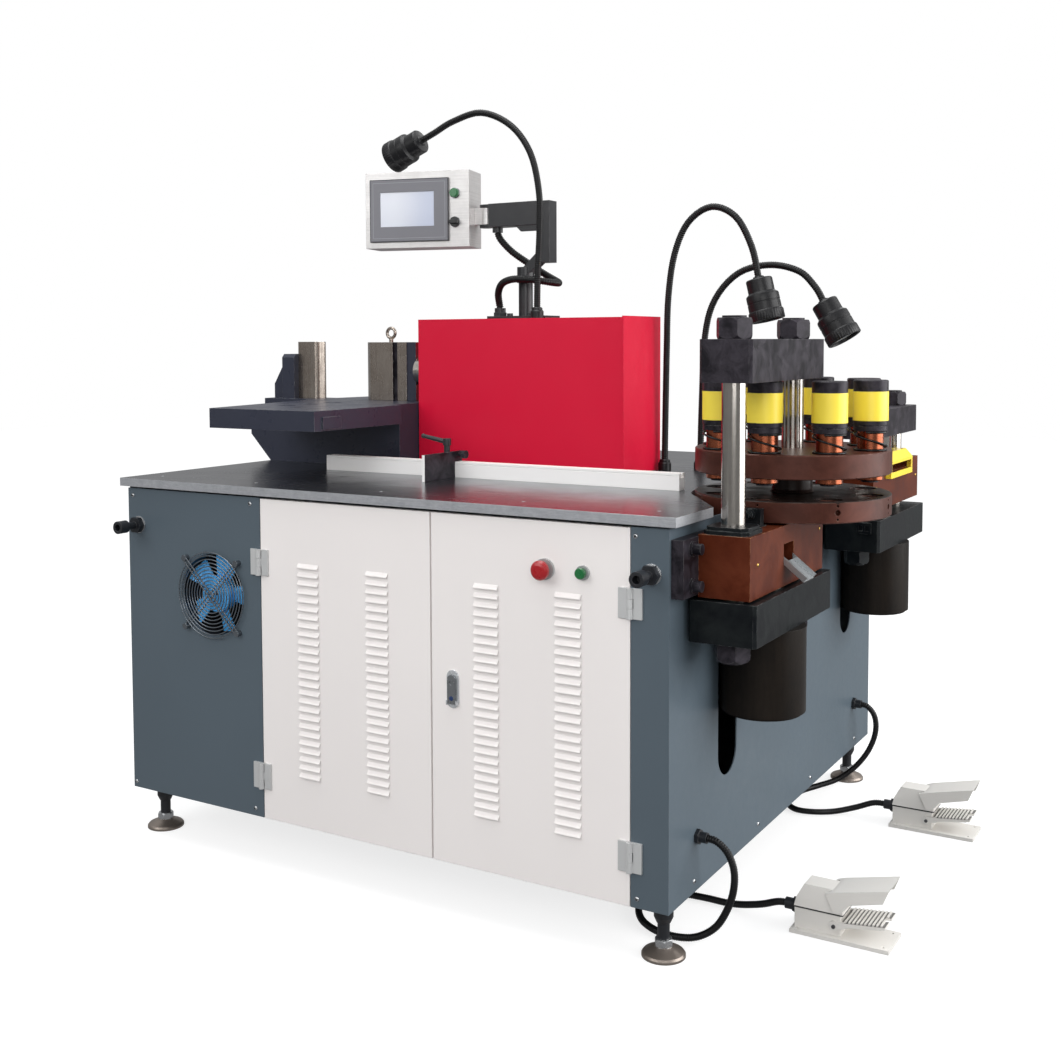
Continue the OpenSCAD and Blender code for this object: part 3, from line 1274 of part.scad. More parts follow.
// Ribbed treadle with a notch in its toe, on two arms beside the body
module treadle(p) {
    w = pedal_w;
    arm = [pedal_side - 8, pedal_side - 0.6];
    color("#d6d5d2") place() translate([p[0], p[1], 0]) difference() {
        union() {
            for (y = [arm, [w - arm[1], w - arm[0]]]) {
                bar_y(92, y, 30, 20);
                plate_xz([[92, 21], [126, 34], [190, 44], [190, 48], [114, 41.5], [92, 39]], y);
            }
            plate_xz([[108, 36], [198, 46], [198, 51], [108, 40.5]], [pedal_side - 8, w - pedal_side + 8]);
            for (i = [0 : 9]) translate([114 + i * 8.2, 0, 41.6 + i * 0.95]) span([0, 3.6], [pedal_side - 6, w - pedal_side + 6], [-2, 3]);
        }
        for (y = [arm, [w - arm[1], w - arm[0]]]) bar_y(92, [y[0] - 1, y[1] + 1], 30, 8 + 2 * fit);
        span([186, 200], [w / 2 - 9, w / 2 + 9], [30, 60]);
    }
}
module treadle_front() { treadle(pedal_pos[0]); }
module treadle_rear() { treadle(pedal_pos[1]); }

module pedal_cord_front() {
    color("#151516") place() swept(smooth(cord_front, 3), cord_d, 10, [[1, 0, 0], [1, 0, 0]]);
}
module pedal_cord_rear() {
    color("#151516") place() swept(smooth(cord_rear, 3), cord_d, 10, [[1, 0, 0], [1, 0, 0]]);
}

cabinet_frame();
left_panel();
right_panel();
front_panel();
back_panel();
worktop();
levelling_feet();
door_hinges();
fan_housing();
fan_guard();
fan_rotor();
hydraulic_unit();
wall_fittings();
left_door();
right_door();
lock_handle();
estop_button();
start_button();
press_block();
press_beam();
press_columns();
press_yoke();
press_cylinder();
upper_disc();
lower_disc();
punch_1();
punch_2();
punch_3();
punch_4();
punch_5();
punch_6();
punch_7();
punch_8();
punch_springs();
shear_block();
shear_guard();
shear_frame();
shear_cylinder();
bending_bed();
bending_die();
bending_ram();
bending_cylinder();
cylinder_cover();
fence_rail();
stop_bracket();
clamp_lever();
arm_base();
arm_boom();
hmi_box();
hmi_panel();
hmi_button();
hmi_selector();
hmi_conduit();
lamp_necks();
lamp_heads();
pedal_bases();
treadle_front();
treadle_rear();
pedal_cord_front();
pedal_cord_rear();
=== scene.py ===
import math

import bmesh
import bpy
import numpy as np
from mathutils import Euler, Matrix, Vector


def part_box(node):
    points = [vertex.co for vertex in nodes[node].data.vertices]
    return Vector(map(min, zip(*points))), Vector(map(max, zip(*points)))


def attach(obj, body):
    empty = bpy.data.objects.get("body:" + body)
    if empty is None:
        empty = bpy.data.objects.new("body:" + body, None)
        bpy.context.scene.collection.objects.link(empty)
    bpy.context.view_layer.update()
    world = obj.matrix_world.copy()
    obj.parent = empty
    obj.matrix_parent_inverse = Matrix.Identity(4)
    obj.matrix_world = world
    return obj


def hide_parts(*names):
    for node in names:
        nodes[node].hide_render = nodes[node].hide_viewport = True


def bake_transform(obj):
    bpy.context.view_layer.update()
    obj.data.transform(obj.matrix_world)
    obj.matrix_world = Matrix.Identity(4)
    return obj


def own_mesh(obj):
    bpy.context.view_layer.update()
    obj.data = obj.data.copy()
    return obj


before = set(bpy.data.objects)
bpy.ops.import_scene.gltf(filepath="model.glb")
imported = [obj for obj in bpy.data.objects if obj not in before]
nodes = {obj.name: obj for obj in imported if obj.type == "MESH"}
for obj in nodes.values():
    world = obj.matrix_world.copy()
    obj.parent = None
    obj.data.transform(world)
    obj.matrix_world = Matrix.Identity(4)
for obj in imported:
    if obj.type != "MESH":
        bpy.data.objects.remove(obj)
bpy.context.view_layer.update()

# Studio: the machine stands on a pale floor under broad soft lights, as in a catalogue picture.
# The camera looks from the front right corner, a little above the worktop, with the view shifted
# downwards because the picture leaves less room above the machine than below the lens's axis.
scene = bpy.context.scene
scene.view_settings.view_transform = "Standard"
lens = bpy.data.cameras.new("photo_lens")
lens.sensor_width = 36.0
lens.lens = 43.81
lens.shift_y = -0.1081
lens.clip_end = 60.0
camera = bpy.data.objects.new("photo_camera", lens)
scene.collection.objects.link(camera)
camera.location = (1.7041, -2.9066, 1.2357)
aim = Euler((math.pi / 2 - 0.057725, 0.0, 0.534772)).to_matrix() @ Matrix.Rotation(-0.0032, 3, "Z")
camera.rotation_euler = aim.to_euler()
scene.camera = camera


def add(tree, kind, sockets={}, **settings):
    """Places a node in a tree: settings are its own properties, sockets take values or links."""
    node = tree.nodes.new(kind)
    for key, value in settings.items():
        setattr(node, key, value)
    for key, value in sockets.items():
        if isinstance(value, bpy.types.NodeSocket):
            tree.links.new(value, node.inputs[key])
        else:
            node.inputs[key].default_value = value
    return node


sky = bpy.data.worlds.new("studio_sky")
scene.world = sky
sky.use_nodes = True
upward = add(sky.node_tree, "ShaderNodeSeparateXYZ", {0: add(sky.node_tree, "ShaderNodeTexCoord").outputs["Generated"]})
height = add(sky.node_tree, "ShaderNodeMapRange", {"Value": upward.outputs["Z"], "From Min": -1.0})
glow = add(sky.node_tree, "ShaderNodeValToRGB", {0: height.outputs[0]})
for spot, level in ((0.5, 0.27), (0.66, 0.46)):
    glow.color_ramp.elements.new(spot).color = (level, level, level, 1)
glow.color_ramp.elements[0].color = (0.36, 0.36, 0.37, 1)
glow.color_ramp.elements[3].color = (0.98, 0.99, 1.0, 1)
paper = add(sky.node_tree, "ShaderNodeMix", {0: add(sky.node_tree, "ShaderNodeLightPath").outputs["Is Camera Ray"],
                                             6: glow.outputs["Color"], 7: (1, 1, 1, 1)}, data_type="RGBA")
sky.node_tree.links.new(paper.outputs[2], sky.node_tree.nodes["Background"].inputs["Color"])

lit_point = Vector((0.1, -0.1, 0.8))
for name, place, size, power in (
        ("key", (-1.6, -4.4, 3.0), (3.2, 2.2), 60),
        ("fill", (2.5, -4.4, 2.1), (2.6, 2.2), 62),
        ("side", (4.4, 1.3, 1.9), (5.0, 3.4), 250),
        ("top", (-0.2, -0.4, 4.4), (2.6, 2.2), 80),
        ("back", (0.6, 4.4, 4.4), (3.0, 1.6), 25)):
    lamp = bpy.data.lights.new(name + "_light", "AREA")
    lamp.shape = "RECTANGLE"
    lamp.size, lamp.size_y = size
    lamp.energy = power
    holder = bpy.data.objects.new(name + "_light", lamp)
    scene.collection.objects.link(holder)
    holder.location = place
    holder.rotation_euler = (lit_point - Vector(place)).to_track_quat("-Z", "Y").to_euler()

floor_mesh = bpy.data.meshes.new("studio_floor")
reach, floor_z = 14, -0.0006
floor_mesh.from_pydata([(-reach, -reach, floor_z), (reach, -reach, floor_z), (reach, reach, floor_z),
                        (-reach, reach, floor_z)], [], [(0, 1, 2, 3)])
floor = bpy.data.objects.new("studio_floor", floor_mesh)
scene.collection.objects.link(floor)
pale = bpy.data.materials.new("studio_pale")
pale.use_nodes = True
for key, value in (("Base Color", (0.34, 0.34, 0.34, 1)), ("Roughness", 0.85), ("Emission Color", (1, 1, 1, 1)),
                   ("Emission Strength", 0.76)):
    pale.node_tree.nodes["Principled BSDF"].inputs[key].default_value = value
floor_mesh.materials.append(pale)
floor.visible_diffuse = False
floor.visible_glossy = False


# Pedal cords: black corrugated sheath over the pedals' cables. Each leaves a gland low on the right side,
# drops to the floor, runs round in a loose loop and ends in the gland at the back of its pedal.
def at(x, y, z):
    """A point given in millimetres from the cabinet's centre and the floor, in the part's frame."""
    return Vector(((x - 65.5) / 1000, (y + 30.0) / 1000, z / 1000))


def smooth_route(points, steps):
    """A smooth curve through listed points."""
    p = [np.array(q, float) for q in points]
    out = []
    for i in range(len(p) - 1):
        a, b, c, d = p[max(i - 1, 0)], p[i], p[i + 1], p[min(i + 2, len(p) - 1)]
        for k in range(steps):
            t = k / steps
            bow, twist = 2 * a - 5 * b + 4 * c - d, 3 * b - a - 3 * c + d
            out.append(0.5 * (2 * b + (c - a) * t + bow * t * t + twist * t ** 3))
    return [at(*q) for q in out + [p[-1]]]


def shader_group(name, inputs, outputs):
    """An empty shader group with its sockets; an effect that several finishes share."""
    tree = bpy.data.node_groups.new(name, "ShaderNodeTree")
    for label, kind, value in inputs:
        tree.interface.new_socket(label, in_out="INPUT", socket_type="NodeSocket" + kind).default_value = value
    for label, kind in outputs:
        tree.interface.new_socket(label, in_out="OUTPUT", socket_type="NodeSocket" + kind)
    return tree, tree.nodes.new("NodeGroupInput").outputs, tree.nodes.new("NodeGroupOutput")


def put_out(tree, end, **results):
    """Links a group's results to its outputs by name."""
    for label, socket in results.items():
        tree.links.new(socket, end.inputs[label])


def screen_rgb(r, g, b):
    """A colour as seen on a screen, 0 to 255, as the linear colour a shader takes."""
    return tuple(c / 3294.6 if c <= 10 else ((c / 255 + 0.055) / 1.055) ** 2.4 for c in (r, g, b)) + (1.0,)


film, film_in, film_out = shader_group(
    "coat_film", (("Color", "Color", (1, 1, 1, 1)), ("Patch", "Float", 0.04), ("Roughness", "Float", 0.4),
                  ("Smudge", "Float", 0.06), ("Peel", "Float", 700.0)),
    (("Color", "Color"), ("Roughness", "Float"), ("Height", "Float")))
spot = add(film, "ShaderNodeTexCoord").outputs["Object"]
broad = add(film, "ShaderNodeTexNoise", {"Vector": spot, "Scale": 2.7, "Detail": 3.0})
hands = add(film, "ShaderNodeTexNoise", {"Vector": spot, "Scale": 21.0, "Detail": 6.0, "Roughness": 0.65})
grain = add(film, "ShaderNodeTexNoise", {"Vector": spot, "Scale": film_in["Peel"], "Detail": 2.0})
dim = add(film, "ShaderNodeMath", {0: 1.0, 1: film_in["Patch"]}, operation="SUBTRACT")
lit = add(film, "ShaderNodeMath", {0: 1.0, 1: film_in["Patch"]}, operation="ADD")
value = add(film, "ShaderNodeMapRange", {"Value": broad.outputs["Fac"], "From Min": 0.3, "From Max": 0.7,
                                         "To Min": dim.outputs[0], "To Max": lit.outputs[0]})
tinted = add(film, "ShaderNodeHueSaturation", {"Color": film_in["Color"], "Value": value.outputs[0]})
dry = add(film, "ShaderNodeMath", {0: film_in["Roughness"], 1: film_in["Smudge"]}, operation="ADD")
slick = add(film, "ShaderNodeMath", {0: film_in["Roughness"], 1: film_in["Smudge"]}, operation="SUBTRACT")
rough = add(film, "ShaderNodeMapRange", {"Value": hands.outputs["Fac"], "From Min": 0.35, "From Max": 0.7,
                                         "To Min": slick.outputs[0], "To Max": dry.outputs[0]})
put_out(film, film_out, Color=tinted.outputs[0], Roughness=rough.outputs[0], Height=grain.outputs["Fac"])

rub, rub_in, rub_out = shader_group("edge_rub", (("Radius", "Float", 0.0016), ("Break", "Float", 60.0)),
                                    (("Normal", "Vector"), ("Mask", "Float")))
eased = add(rub, "ShaderNodeBevel", {"Radius": rub_in["Radius"]}, samples=4)
bend = add(rub, "ShaderNodeVectorMath", {0: eased.outputs[0], 1: add(rub, "ShaderNodeNewGeometry").outputs["Normal"]},
           operation="DOT_PRODUCT")
edge = add(rub, "ShaderNodeMapRange", {"Value": bend.outputs["Value"], "From Min": 0.985, "From Max": 0.80})
chips = add(rub, "ShaderNodeTexNoise", {"Vector": add(rub, "ShaderNodeTexCoord").outputs["Object"],
                                        "Scale": rub_in["Break"], "Detail": 5.0})
chipped = add(rub, "ShaderNodeMapRange", {"Value": chips.outputs["Fac"], "From Min": 0.42, "From Max": 0.6})
worn = add(rub, "ShaderNodeMath", {0: edge.outputs[0], 1: chipped.outputs[0]}, operation="MULTIPLY")
put_out(rub, rub_out, Normal=eased.outputs[0], Mask=worn.outputs[0])


def blank(name, metallic, shine):
    """A new material with its tree and its shader."""
    mat = bpy.data.materials.new(name)
    mat.use_nodes = True
    bsdf = mat.node_tree.nodes["Principled BSDF"]
    bsdf.inputs["Metallic"].default_value = metallic
    bsdf.inputs["Specular IOR Level"].default_value = shine
    return mat, mat.node_tree, bsdf


def rubbed(tree, radius, color, wear):
    """Eases the edges and shows the worn colour there; returns the colour and the eased normal."""
    edges = add(tree, "ShaderNodeGroup", node_tree=rub)
    edges.inputs["Radius"].default_value = radius
    if wear:
        color = add(tree, "ShaderNodeMix", {0: edges.outputs["Mask"], 6: color, 7: wear}, data_type="RGBA").outputs[2]
    return color, edges.outputs["Normal"]


def link_up(tree, bsdf, color, roughness, bump):
    """Links the parts of a finish to its shader."""
    for key, socket in (("Base Color", color), ("Roughness", roughness), ("Normal", bump.outputs[0])):
        tree.links.new(socket, bsdf.inputs[key])


def coated(name, color, roughness, wear=None, patch=0.04, smudge=0.06, peel=700.0, bump=0.05, metallic=0.0, coat=0.0,
           edge_radius=0.0016, shine=0.5):
    """Paint, powder coat or moulded plastic: an even film with orange peel, faint patches and rubbed edges."""
    mat, tree, bsdf = blank(name, metallic, shine)
    bsdf.inputs["Coat Weight"].default_value = coat
    bsdf.inputs["Coat Roughness"].default_value = 0.12
    body = add(tree, "ShaderNodeGroup", node_tree=film)
    for key, v in (("Color", color), ("Patch", patch), ("Roughness", roughness), ("Smudge", smudge), ("Peel", peel)):
        body.inputs[key].default_value = v
    shown, eased_normal = rubbed(tree, edge_radius, body.outputs["Color"], wear)
    relief = add(tree, "ShaderNodeBump", {"Strength": bump, "Distance": 0.0006, "Height": body.outputs["Height"],
                                          "Normal": eased_normal})
    link_up(tree, bsdf, shown, body.outputs["Roughness"], relief)
    return mat


def node_tree(name, inputs):
    """An empty geometry tree with its sizes as named inputs; returns the tree, its inputs and its end."""
    tree = bpy.data.node_groups.new(name, "GeometryNodeTree")
    tree.interface.new_socket("Geometry", in_out="INPUT", socket_type="NodeSocketGeometry")
    for label, kind, value in inputs:
        socket = tree.interface.new_socket(label, in_out="INPUT", socket_type="NodeSocket" + kind)
        if value is not None:
            socket.default_value = value
    tree.interface.new_socket("Geometry", in_out="OUTPUT", socket_type="NodeSocketGeometry")
    return tree, tree.nodes.new("NodeGroupInput").outputs, tree.nodes.new("NodeGroupOutput")


def grown(name, base, tree, **sizes):
    """Runs a geometry tree on a base mesh and returns the result as a plain mesh object."""
    obj = bpy.data.objects.new(name, base)
    scene.collection.objects.link(obj)
    mod = obj.modifiers.new("shape", "NODES")
    mod.node_group = tree
    for item in tree.interface.items_tree:
        if item.in_out == "INPUT" and item.name in sizes:
            mod[item.identifier] = sizes[item.name]
    depsgraph = bpy.context.evaluated_depsgraph_get()
    result = bpy.data.meshes.new_from_object(obj.evaluated_get(depsgraph))
    obj.modifiers.remove(mod)
    obj.data = result
    result.name = name
    return obj


hose, hose_in, hose_end = node_tree("corrugated_hose", (("Radius", "Float", 0.007), ("Rib Depth", "Float", 0.0012),
                                                        ("Rib Pitch", "Float", 0.005), ("Step", "Float", 0.00125),
                                                        ("Sides", "Int", 14), ("Sheath", "Material", None)))
line = add(hose, "GeometryNodeMeshToCurve", {"Mesh": hose_in["Geometry"]})
fine = add(hose, "GeometryNodeResampleCurve", {"Curve": line.outputs[0], "Length": hose_in["Step"]}, mode="LENGTH")
kept = add(hose, "GeometryNodeCaptureAttribute", domain="POINT")
kept.capture_items.new("FLOAT", "along")
hose.links.new(fine.outputs[0], kept.inputs[0])
hose.links.new(add(hose, "GeometryNodeSplineParameter").outputs["Length"], kept.inputs[1])
round_section = add(hose, "GeometryNodeCurvePrimitiveCircle", {"Resolution": hose_in["Sides"],
                                                               "Radius": hose_in["Radius"]})
tube = add(hose, "GeometryNodeCurveToMesh", {"Curve": kept.outputs[0], "Profile Curve": round_section.outputs[0],
                                             "Fill Caps": True})
turns = add(hose, "ShaderNodeMath", {0: kept.outputs[1], 1: hose_in["Rib Pitch"]}, operation="DIVIDE")
phase = add(hose, "ShaderNodeMath", {0: turns.outputs[0], 1: math.tau}, operation="MULTIPLY")
wave = add(hose, "ShaderNodeMath", {0: phase.outputs[0]}, operation="SINE")
half_depth = add(hose, "ShaderNodeMath", {0: wave.outputs[0], 1: hose_in["Rib Depth"]}, operation="MULTIPLY")
lift = add(hose, "ShaderNodeMath", {0: half_depth.outputs[0], 1: 0.5}, operation="MULTIPLY")
push = add(hose, "ShaderNodeVectorMath", {0: add(hose, "GeometryNodeInputNormal").outputs[0], "Scale": lift.outputs[0]},
           operation="SCALE")
ribbed = add(hose, "GeometryNodeSetPosition", {"Geometry": tube.outputs[0], "Offset": push.outputs[0]})
even = add(hose, "GeometryNodeSetShadeSmooth", {"Geometry": ribbed.outputs[0]})
whole = add(hose, "GeometryNodeRealizeInstances", {"Geometry": even.outputs[0]})
black_hose = add(hose, "GeometryNodeSetMaterial", {"Geometry": whole.outputs[0], "Material": hose_in["Sheath"]})
hose.links.new(black_hose.outputs[0], hose_end.inputs[0])


def hose_along(name, path, diameter, depth, pitch, sheath, sides=14):
    """A corrugated hose of that outer diameter along a path."""
    base = bpy.data.meshes.new(name + "_line")
    base.from_pydata([tuple(q) for q in path], [(i, i + 1) for i in range(len(path) - 1)], [])
    return grown(name, base, hose, **{"Radius": diameter / 2 - depth / 2, "Rib Depth": depth, "Rib Pitch": pitch,
                                      "Step": pitch / 4, "Sides": sides, "Sheath": sheath})


sheath_rubber = coated("sheath_rubber", screen_rgb(9, 9, 11), 0.4, patch=0.1, smudge=0.1, peel=1800.0, bump=0.1,
                       shine=0.3)
cord_d = 0.016
cord_points = {"front": ((764, -542, 228), (784, -541, 224), (806, -538, 204), (818, -534, 168), (815, -530, 124),
                         (800, -527, 80), (776, -528, 40), (740, -535, 15), (700, -543, 8), (650, -540, 8),
                         (600, -508, 8), (566, -450, 8), (568, -392, 8), (606, -350, 8), (670, -340, 8),
                         (740, -340, 9), (800, -341, 22), (840, -341, 37), (860, -341, 40)),
               "rear": ((764, 532, 240), (780, 534, 236), (796, 541, 214), (800, 549, 180), (792, 554, 140),
                        (772, 553, 96), (740, 544, 54), (700, 524, 22), (660, 486, 9), (634, 430, 8), (624, 370, 8),
                        (634, 314, 8), (668, 282, 8), (716, 290, 8), (760, 318, 9), (806, 342, 20), (850, 352, 37),
                        (879, 352, 40))}
for side, points in cord_points.items():
    path = smooth_route(points, 6)
    cord = hose_along("pedal_cord_" + side + "_sheath", path, cord_d, depth=0.0014, pitch=0.005, sheath=sheath_rubber)
    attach(cord, "base")
    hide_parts("pedal_cord_" + side)


# Cabinet: a welded tube frame closed by folded sheet panels, powder-coated blue-grey outside.
# The panels are held by small socket screws along their edges, and the right one has slots for the cylinders.
def dress(node, coat, *patches):
    """Gives a CAD node its finish, and other finishes to the faces whose middle a test picks."""
    mesh = nodes[node].data
    mesh.materials.clear()
    mesh.materials.append(coat)
    middle = np.zeros(len(mesh.polygons) * 3)
    mesh.polygons.foreach_get("center", middle)
    x, y, z = middle.reshape(-1, 3).T
    index = np.zeros(len(mesh.polygons), np.int32)
    for finish, test in patches:
        mesh.materials.append(finish)
        index[test(x, y, z)] = len(mesh.materials) - 1
    mesh.polygons.foreach_set("material_index", index)


powder_grey = coated("powder_grey", screen_rgb(84, 96, 105), 0.36, wear=screen_rgb(104, 112, 118), patch=0.035,
                     bump=0.07, shine=0.4)
frame_paint = coated("frame_paint", screen_rgb(60, 66, 72), 0.5, patch=0.05, shine=0.25)
for node in ("left_panel", "right_panel", "front_panel", "back_panel"):
    dress(node, powder_grey)
dress("cabinet_frame", frame_paint)

screw, screw_in, screw_end = node_tree("socket_screw", (
    ("Head Radius", "Float", 0.0048), ("Steel", "Material", None), ("Socket", "Material", None)))
dome = add(screw, "GeometryNodeMeshUVSphere", {"Segments": 16, "Rings": 8, "Radius": screw_in["Head Radius"]})
low = add(screw, "GeometryNodeTransform", {"Geometry": dome.outputs[0], "Scale": (1.0, 1.0, 0.55)})
bright = add(screw, "GeometryNodeSetMaterial", {"Geometry": low.outputs[0], "Material": screw_in["Steel"]})
half = add(screw, "ShaderNodeMath", {0: screw_in["Head Radius"], 1: 0.48}, operation="MULTIPLY")
hexagon = add(screw, "GeometryNodeMeshCylinder", {"Vertices": 6, "Radius": half.outputs[0], "Depth": half.outputs[0]})
rise = add(screw, "ShaderNodeCombineXYZ", {"Z": half.outputs[0]})
raised = add(screw, "GeometryNodeTransform", {"Geometry": hexagon.outputs[0], "Translation": rise.outputs[0],
                                              "Scale": (1.0, 1.0, 0.72)})
hollow = add(screw, "GeometryNodeSetMaterial", {"Geometry": raised.outputs[0], "Material": screw_in["Socket"]})
head = add(screw, "GeometryNodeJoinGeometry")
screw.links.new(bright.outputs[0], head.inputs[0])
screw.links.new(hollow.outputs[0], head.inputs[0])
outward = add(screw, "GeometryNodeInputNamedAttribute", {"Name": "outward"}, data_type="FLOAT_VECTOR")
facing = add(screw, "FunctionNodeAlignRotationToVector", {"Vector": outward.outputs[0]}, axis="Z")
set_in = add(screw, "GeometryNodeInstanceOnPoints", {"Points": screw_in["Geometry"], "Instance": head.outputs[0],
                                                     "Rotation": facing.outputs[0]})
real = add(screw, "GeometryNodeRealizeInstances", {"Geometry": set_in.outputs[0]})
screw.links.new(real.outputs[0], screw_end.inputs[0])

zinc = coated("zinc_plate", screen_rgb(186, 188, 190), 0.3, metallic=0.9, patch=0.08, smudge=0.1, peel=400.0, bump=0.03)
socket_dark = coated("socket_dark", screen_rgb(30, 31, 33), 0.6)


def screws(name, body, radius, spots, steel=zinc):
    """Socket screws set at spots, each a place in millimetres and the way its head faces."""
    base = bpy.data.meshes.new(name + "_spots")
    base.from_pydata([tuple(at(*p)) for p, _ in spots], [], [])
    out = base.attributes.new("outward", "FLOAT_VECTOR", "POINT")
    out.data.foreach_set("vector", [c for _, d in spots for c in d])
    obj = grown(name, base, screw, **{"Head Radius": radius, "Steel": steel, "Socket": socket_dark})
    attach(obj, body)
    return obj


front, right, left, back = (0, -1, 0), (1, 0, 0), (-1, 0, 0), (0, 1, 0)
panel_spots = [((x, -680, z), front) for x, z in ((-724, 857), (-335, 859), (-731, 129), (-331, 133), (668, 857),
                                                  (672, 134))]
panel_spots += [((740, y, 139), right) for y in (-556, -194, 171, 545)]
panel_spots += [((-740, y, z), left) for y in (-620, -210, 210, 620) for z in (139, 850)]
panel_spots += [((x, 680, z), back) for x in (-690, -230, 230, 690) for z in (139, 850)]
screws("panel_screws", "base", 0.0052, panel_spots)

# Levelling feet: flat cast pads under the corners, on threaded stems with a lock nut, in black welded sockets.
# Black pipe sockets with a bright washer stand on the front corners, and cord glands low on the right side.
pad_cast = coated("pad_cast", screen_rgb(138, 128, 120), 0.36, metallic=0.7, wear=screen_rgb(190, 186, 180),
                  patch=0.25, peel=240.0, bump=0.35)
socket_black = coated("socket_black", screen_rgb(24, 26, 31), 0.42, wear=screen_rgb(90, 90, 92), peel=500.0)
pad_top, nut_top, washer_t = 0.0205, 0.0362, 0.0031
front_y = at(0, -680, 0).y
dress("levelling_feet", socket_black, (zinc, lambda x, y, z: (z < nut_top) & (z > pad_top)),
      (pad_cast, lambda x, y, z: z <= pad_top))
dress("wall_fittings", socket_black, (zinc, lambda x, y, z: (y < front_y) & (y > front_y - washer_t)))

# Doors: folded sheet pans with two columns of pressed louvres, powder-coated warm white.
# Cast hinges carry them, and the right one has a flush lock, the emergency stop and the start button.
powder_white = coated("powder_white", screen_rgb(245, 240, 238), 0.4, patch=0.012, smudge=0.05, bump=0.05)
lock_silver = coated("lock_silver", screen_rgb(206, 209, 212), 0.26, metallic=0.5, patch=0.05)
paddle_grey = coated("paddle_grey", screen_rgb(128, 131, 134), 0.28, metallic=0.6, patch=0.05)
key_blue = coated("key_blue", screen_rgb(30, 52, 96), 0.4)
collar_grey = coated("collar_grey", screen_rgb(176, 178, 178), 0.34, metallic=0.3, smudge=0.08)
hinge_cast = coated("hinge_cast", screen_rgb(205, 206, 206), 0.42, metallic=0.35, patch=0.06, smudge=0.08, peel=300.0,
                    bump=0.1)
proud = 0.0006


def near(cx, cz, r):
    """Faces on the doors' front within a radius of a spot, in millimetres."""
    spot_x, spot_z = at(cx, 0, cz).x, cz / 1000
    return lambda x, y, z: (y < front_y - proud) & ((x - spot_x) ** 2 + (z - spot_z) ** 2 < (r / 1000) ** 2)


def on_hinge(cx):
    """Faces of the two hinge leaves at a door's edge."""
    pin_x = at(cx, 0, 0).x
    leaf_w, leaf_h, lower_z, upper_z = 0.028, 0.034, 0.217, 0.724
    return lambda x, y, z: ((y < front_y - proud) & (abs(x - pin_x) < leaf_w)
                            & ((abs(z - lower_z) < leaf_h) | (abs(z - upper_z) < leaf_h)))


dress("left_door", powder_white, (hinge_cast, on_hinge(-305)))
dress("right_door", powder_white, (hinge_cast, on_hinge(658)), (collar_grey, near(464, 775, 24)),
      (collar_grey, near(552, 775, 17)), (lock_silver, near(237, 497, 46)))
dress("door_hinges", hinge_cast)
dress("lock_handle", paddle_grey)


def turned(name, profile, place, coat, segments=120, flute=None):
    """A piece turned about its own axis from a profile of (radius, height) in millimetres, then put in place."""
    bm = bmesh.new()
    loops = []
    for r, h in profile:
        loops.append([])
        for k in range(segments if r > 0 else 1):
            a = math.tau * k / segments
            cut = flute(r, h, a) if flute else 0.0
            x, y = (r - cut) * math.cos(a) / 1000, (r - cut) * math.sin(a) / 1000
            loops[-1].append(bm.verts.new(place @ Vector((x, y, h / 1000))))
    for a, b in zip(loops, loops[1:]):
        for k in range(segments):
            j = (k + 1) % segments
            quad = [a[k % len(a)], a[j % len(a)], b[j % len(b)], b[k % len(b)]]
            bm.faces.new(list(dict.fromkeys(quad)))
    bmesh.ops.recalc_face_normals(bm, faces=bm.faces)
    mesh = bpy.data.meshes.new(name)
    bm.to_mesh(mesh)
    bm.free()
    mesh.materials.append(coat)
    mesh.polygons.foreach_set("use_smooth", [True] * len(mesh.polygons))
    mesh.set_sharp_from_angle(angle=math.radians(32))
    obj = bpy.data.objects.new(name, mesh)
    scene.collection.objects.link(obj)
    return obj


core_spot = Matrix.Translation(at(237, -688.8, 478)) @ Vector(front).to_track_quat("Z", "Y").to_matrix().to_4x4()
core = turned("lock_core", [(0, -0.4), (5, -0.4), (5, 0.5), (4.4, 0.9), (0, 0.9)], core_spot, key_blue, segments=32)
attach(core, "lock")

stop_red = coated("stop_red", screen_rgb(166, 20, 28), 0.3, patch=0.03, smudge=0.05, peel=2000.0, coat=0.2)
start_green = coated("start_green", screen_rgb(16, 104, 52), 0.28, patch=0.03, smudge=0.05, peel=2000.0, coat=0.4)
dress("estop_button", stop_red)
dress("start_button", start_green)

# Fan: a square moulded housing screwed behind the front panel's opening, with a blue rotor on its motor.
# A plated wire guard is screwed over the opening from the front.
fan_black = coated("fan_black", screen_rgb(28, 30, 33), 0.5, peel=1500.0, bump=0.15)
fan_blue = coated("fan_blue", screen_rgb(88, 184, 252), 0.36, patch=0.05, peel=1500.0)
guard_plate = coated("guard_plate", screen_rgb(116, 122, 128), 0.26, metallic=0.85, patch=0.06)
dress("fan_housing", fan_black)
dress("fan_rotor", fan_blue)
dress("fan_guard", guard_plate)

# Hydraulic unit: a painted steel tank with a motor and a valve block on its lid, standing on the cabinet's floor.
# It is hidden behind the doors in the picture, so its shape is a guess.
dress("hydraulic_unit", coated("tank_blue", screen_rgb(52, 86, 112), 0.45, wear=screen_rgb(120, 120, 120)))

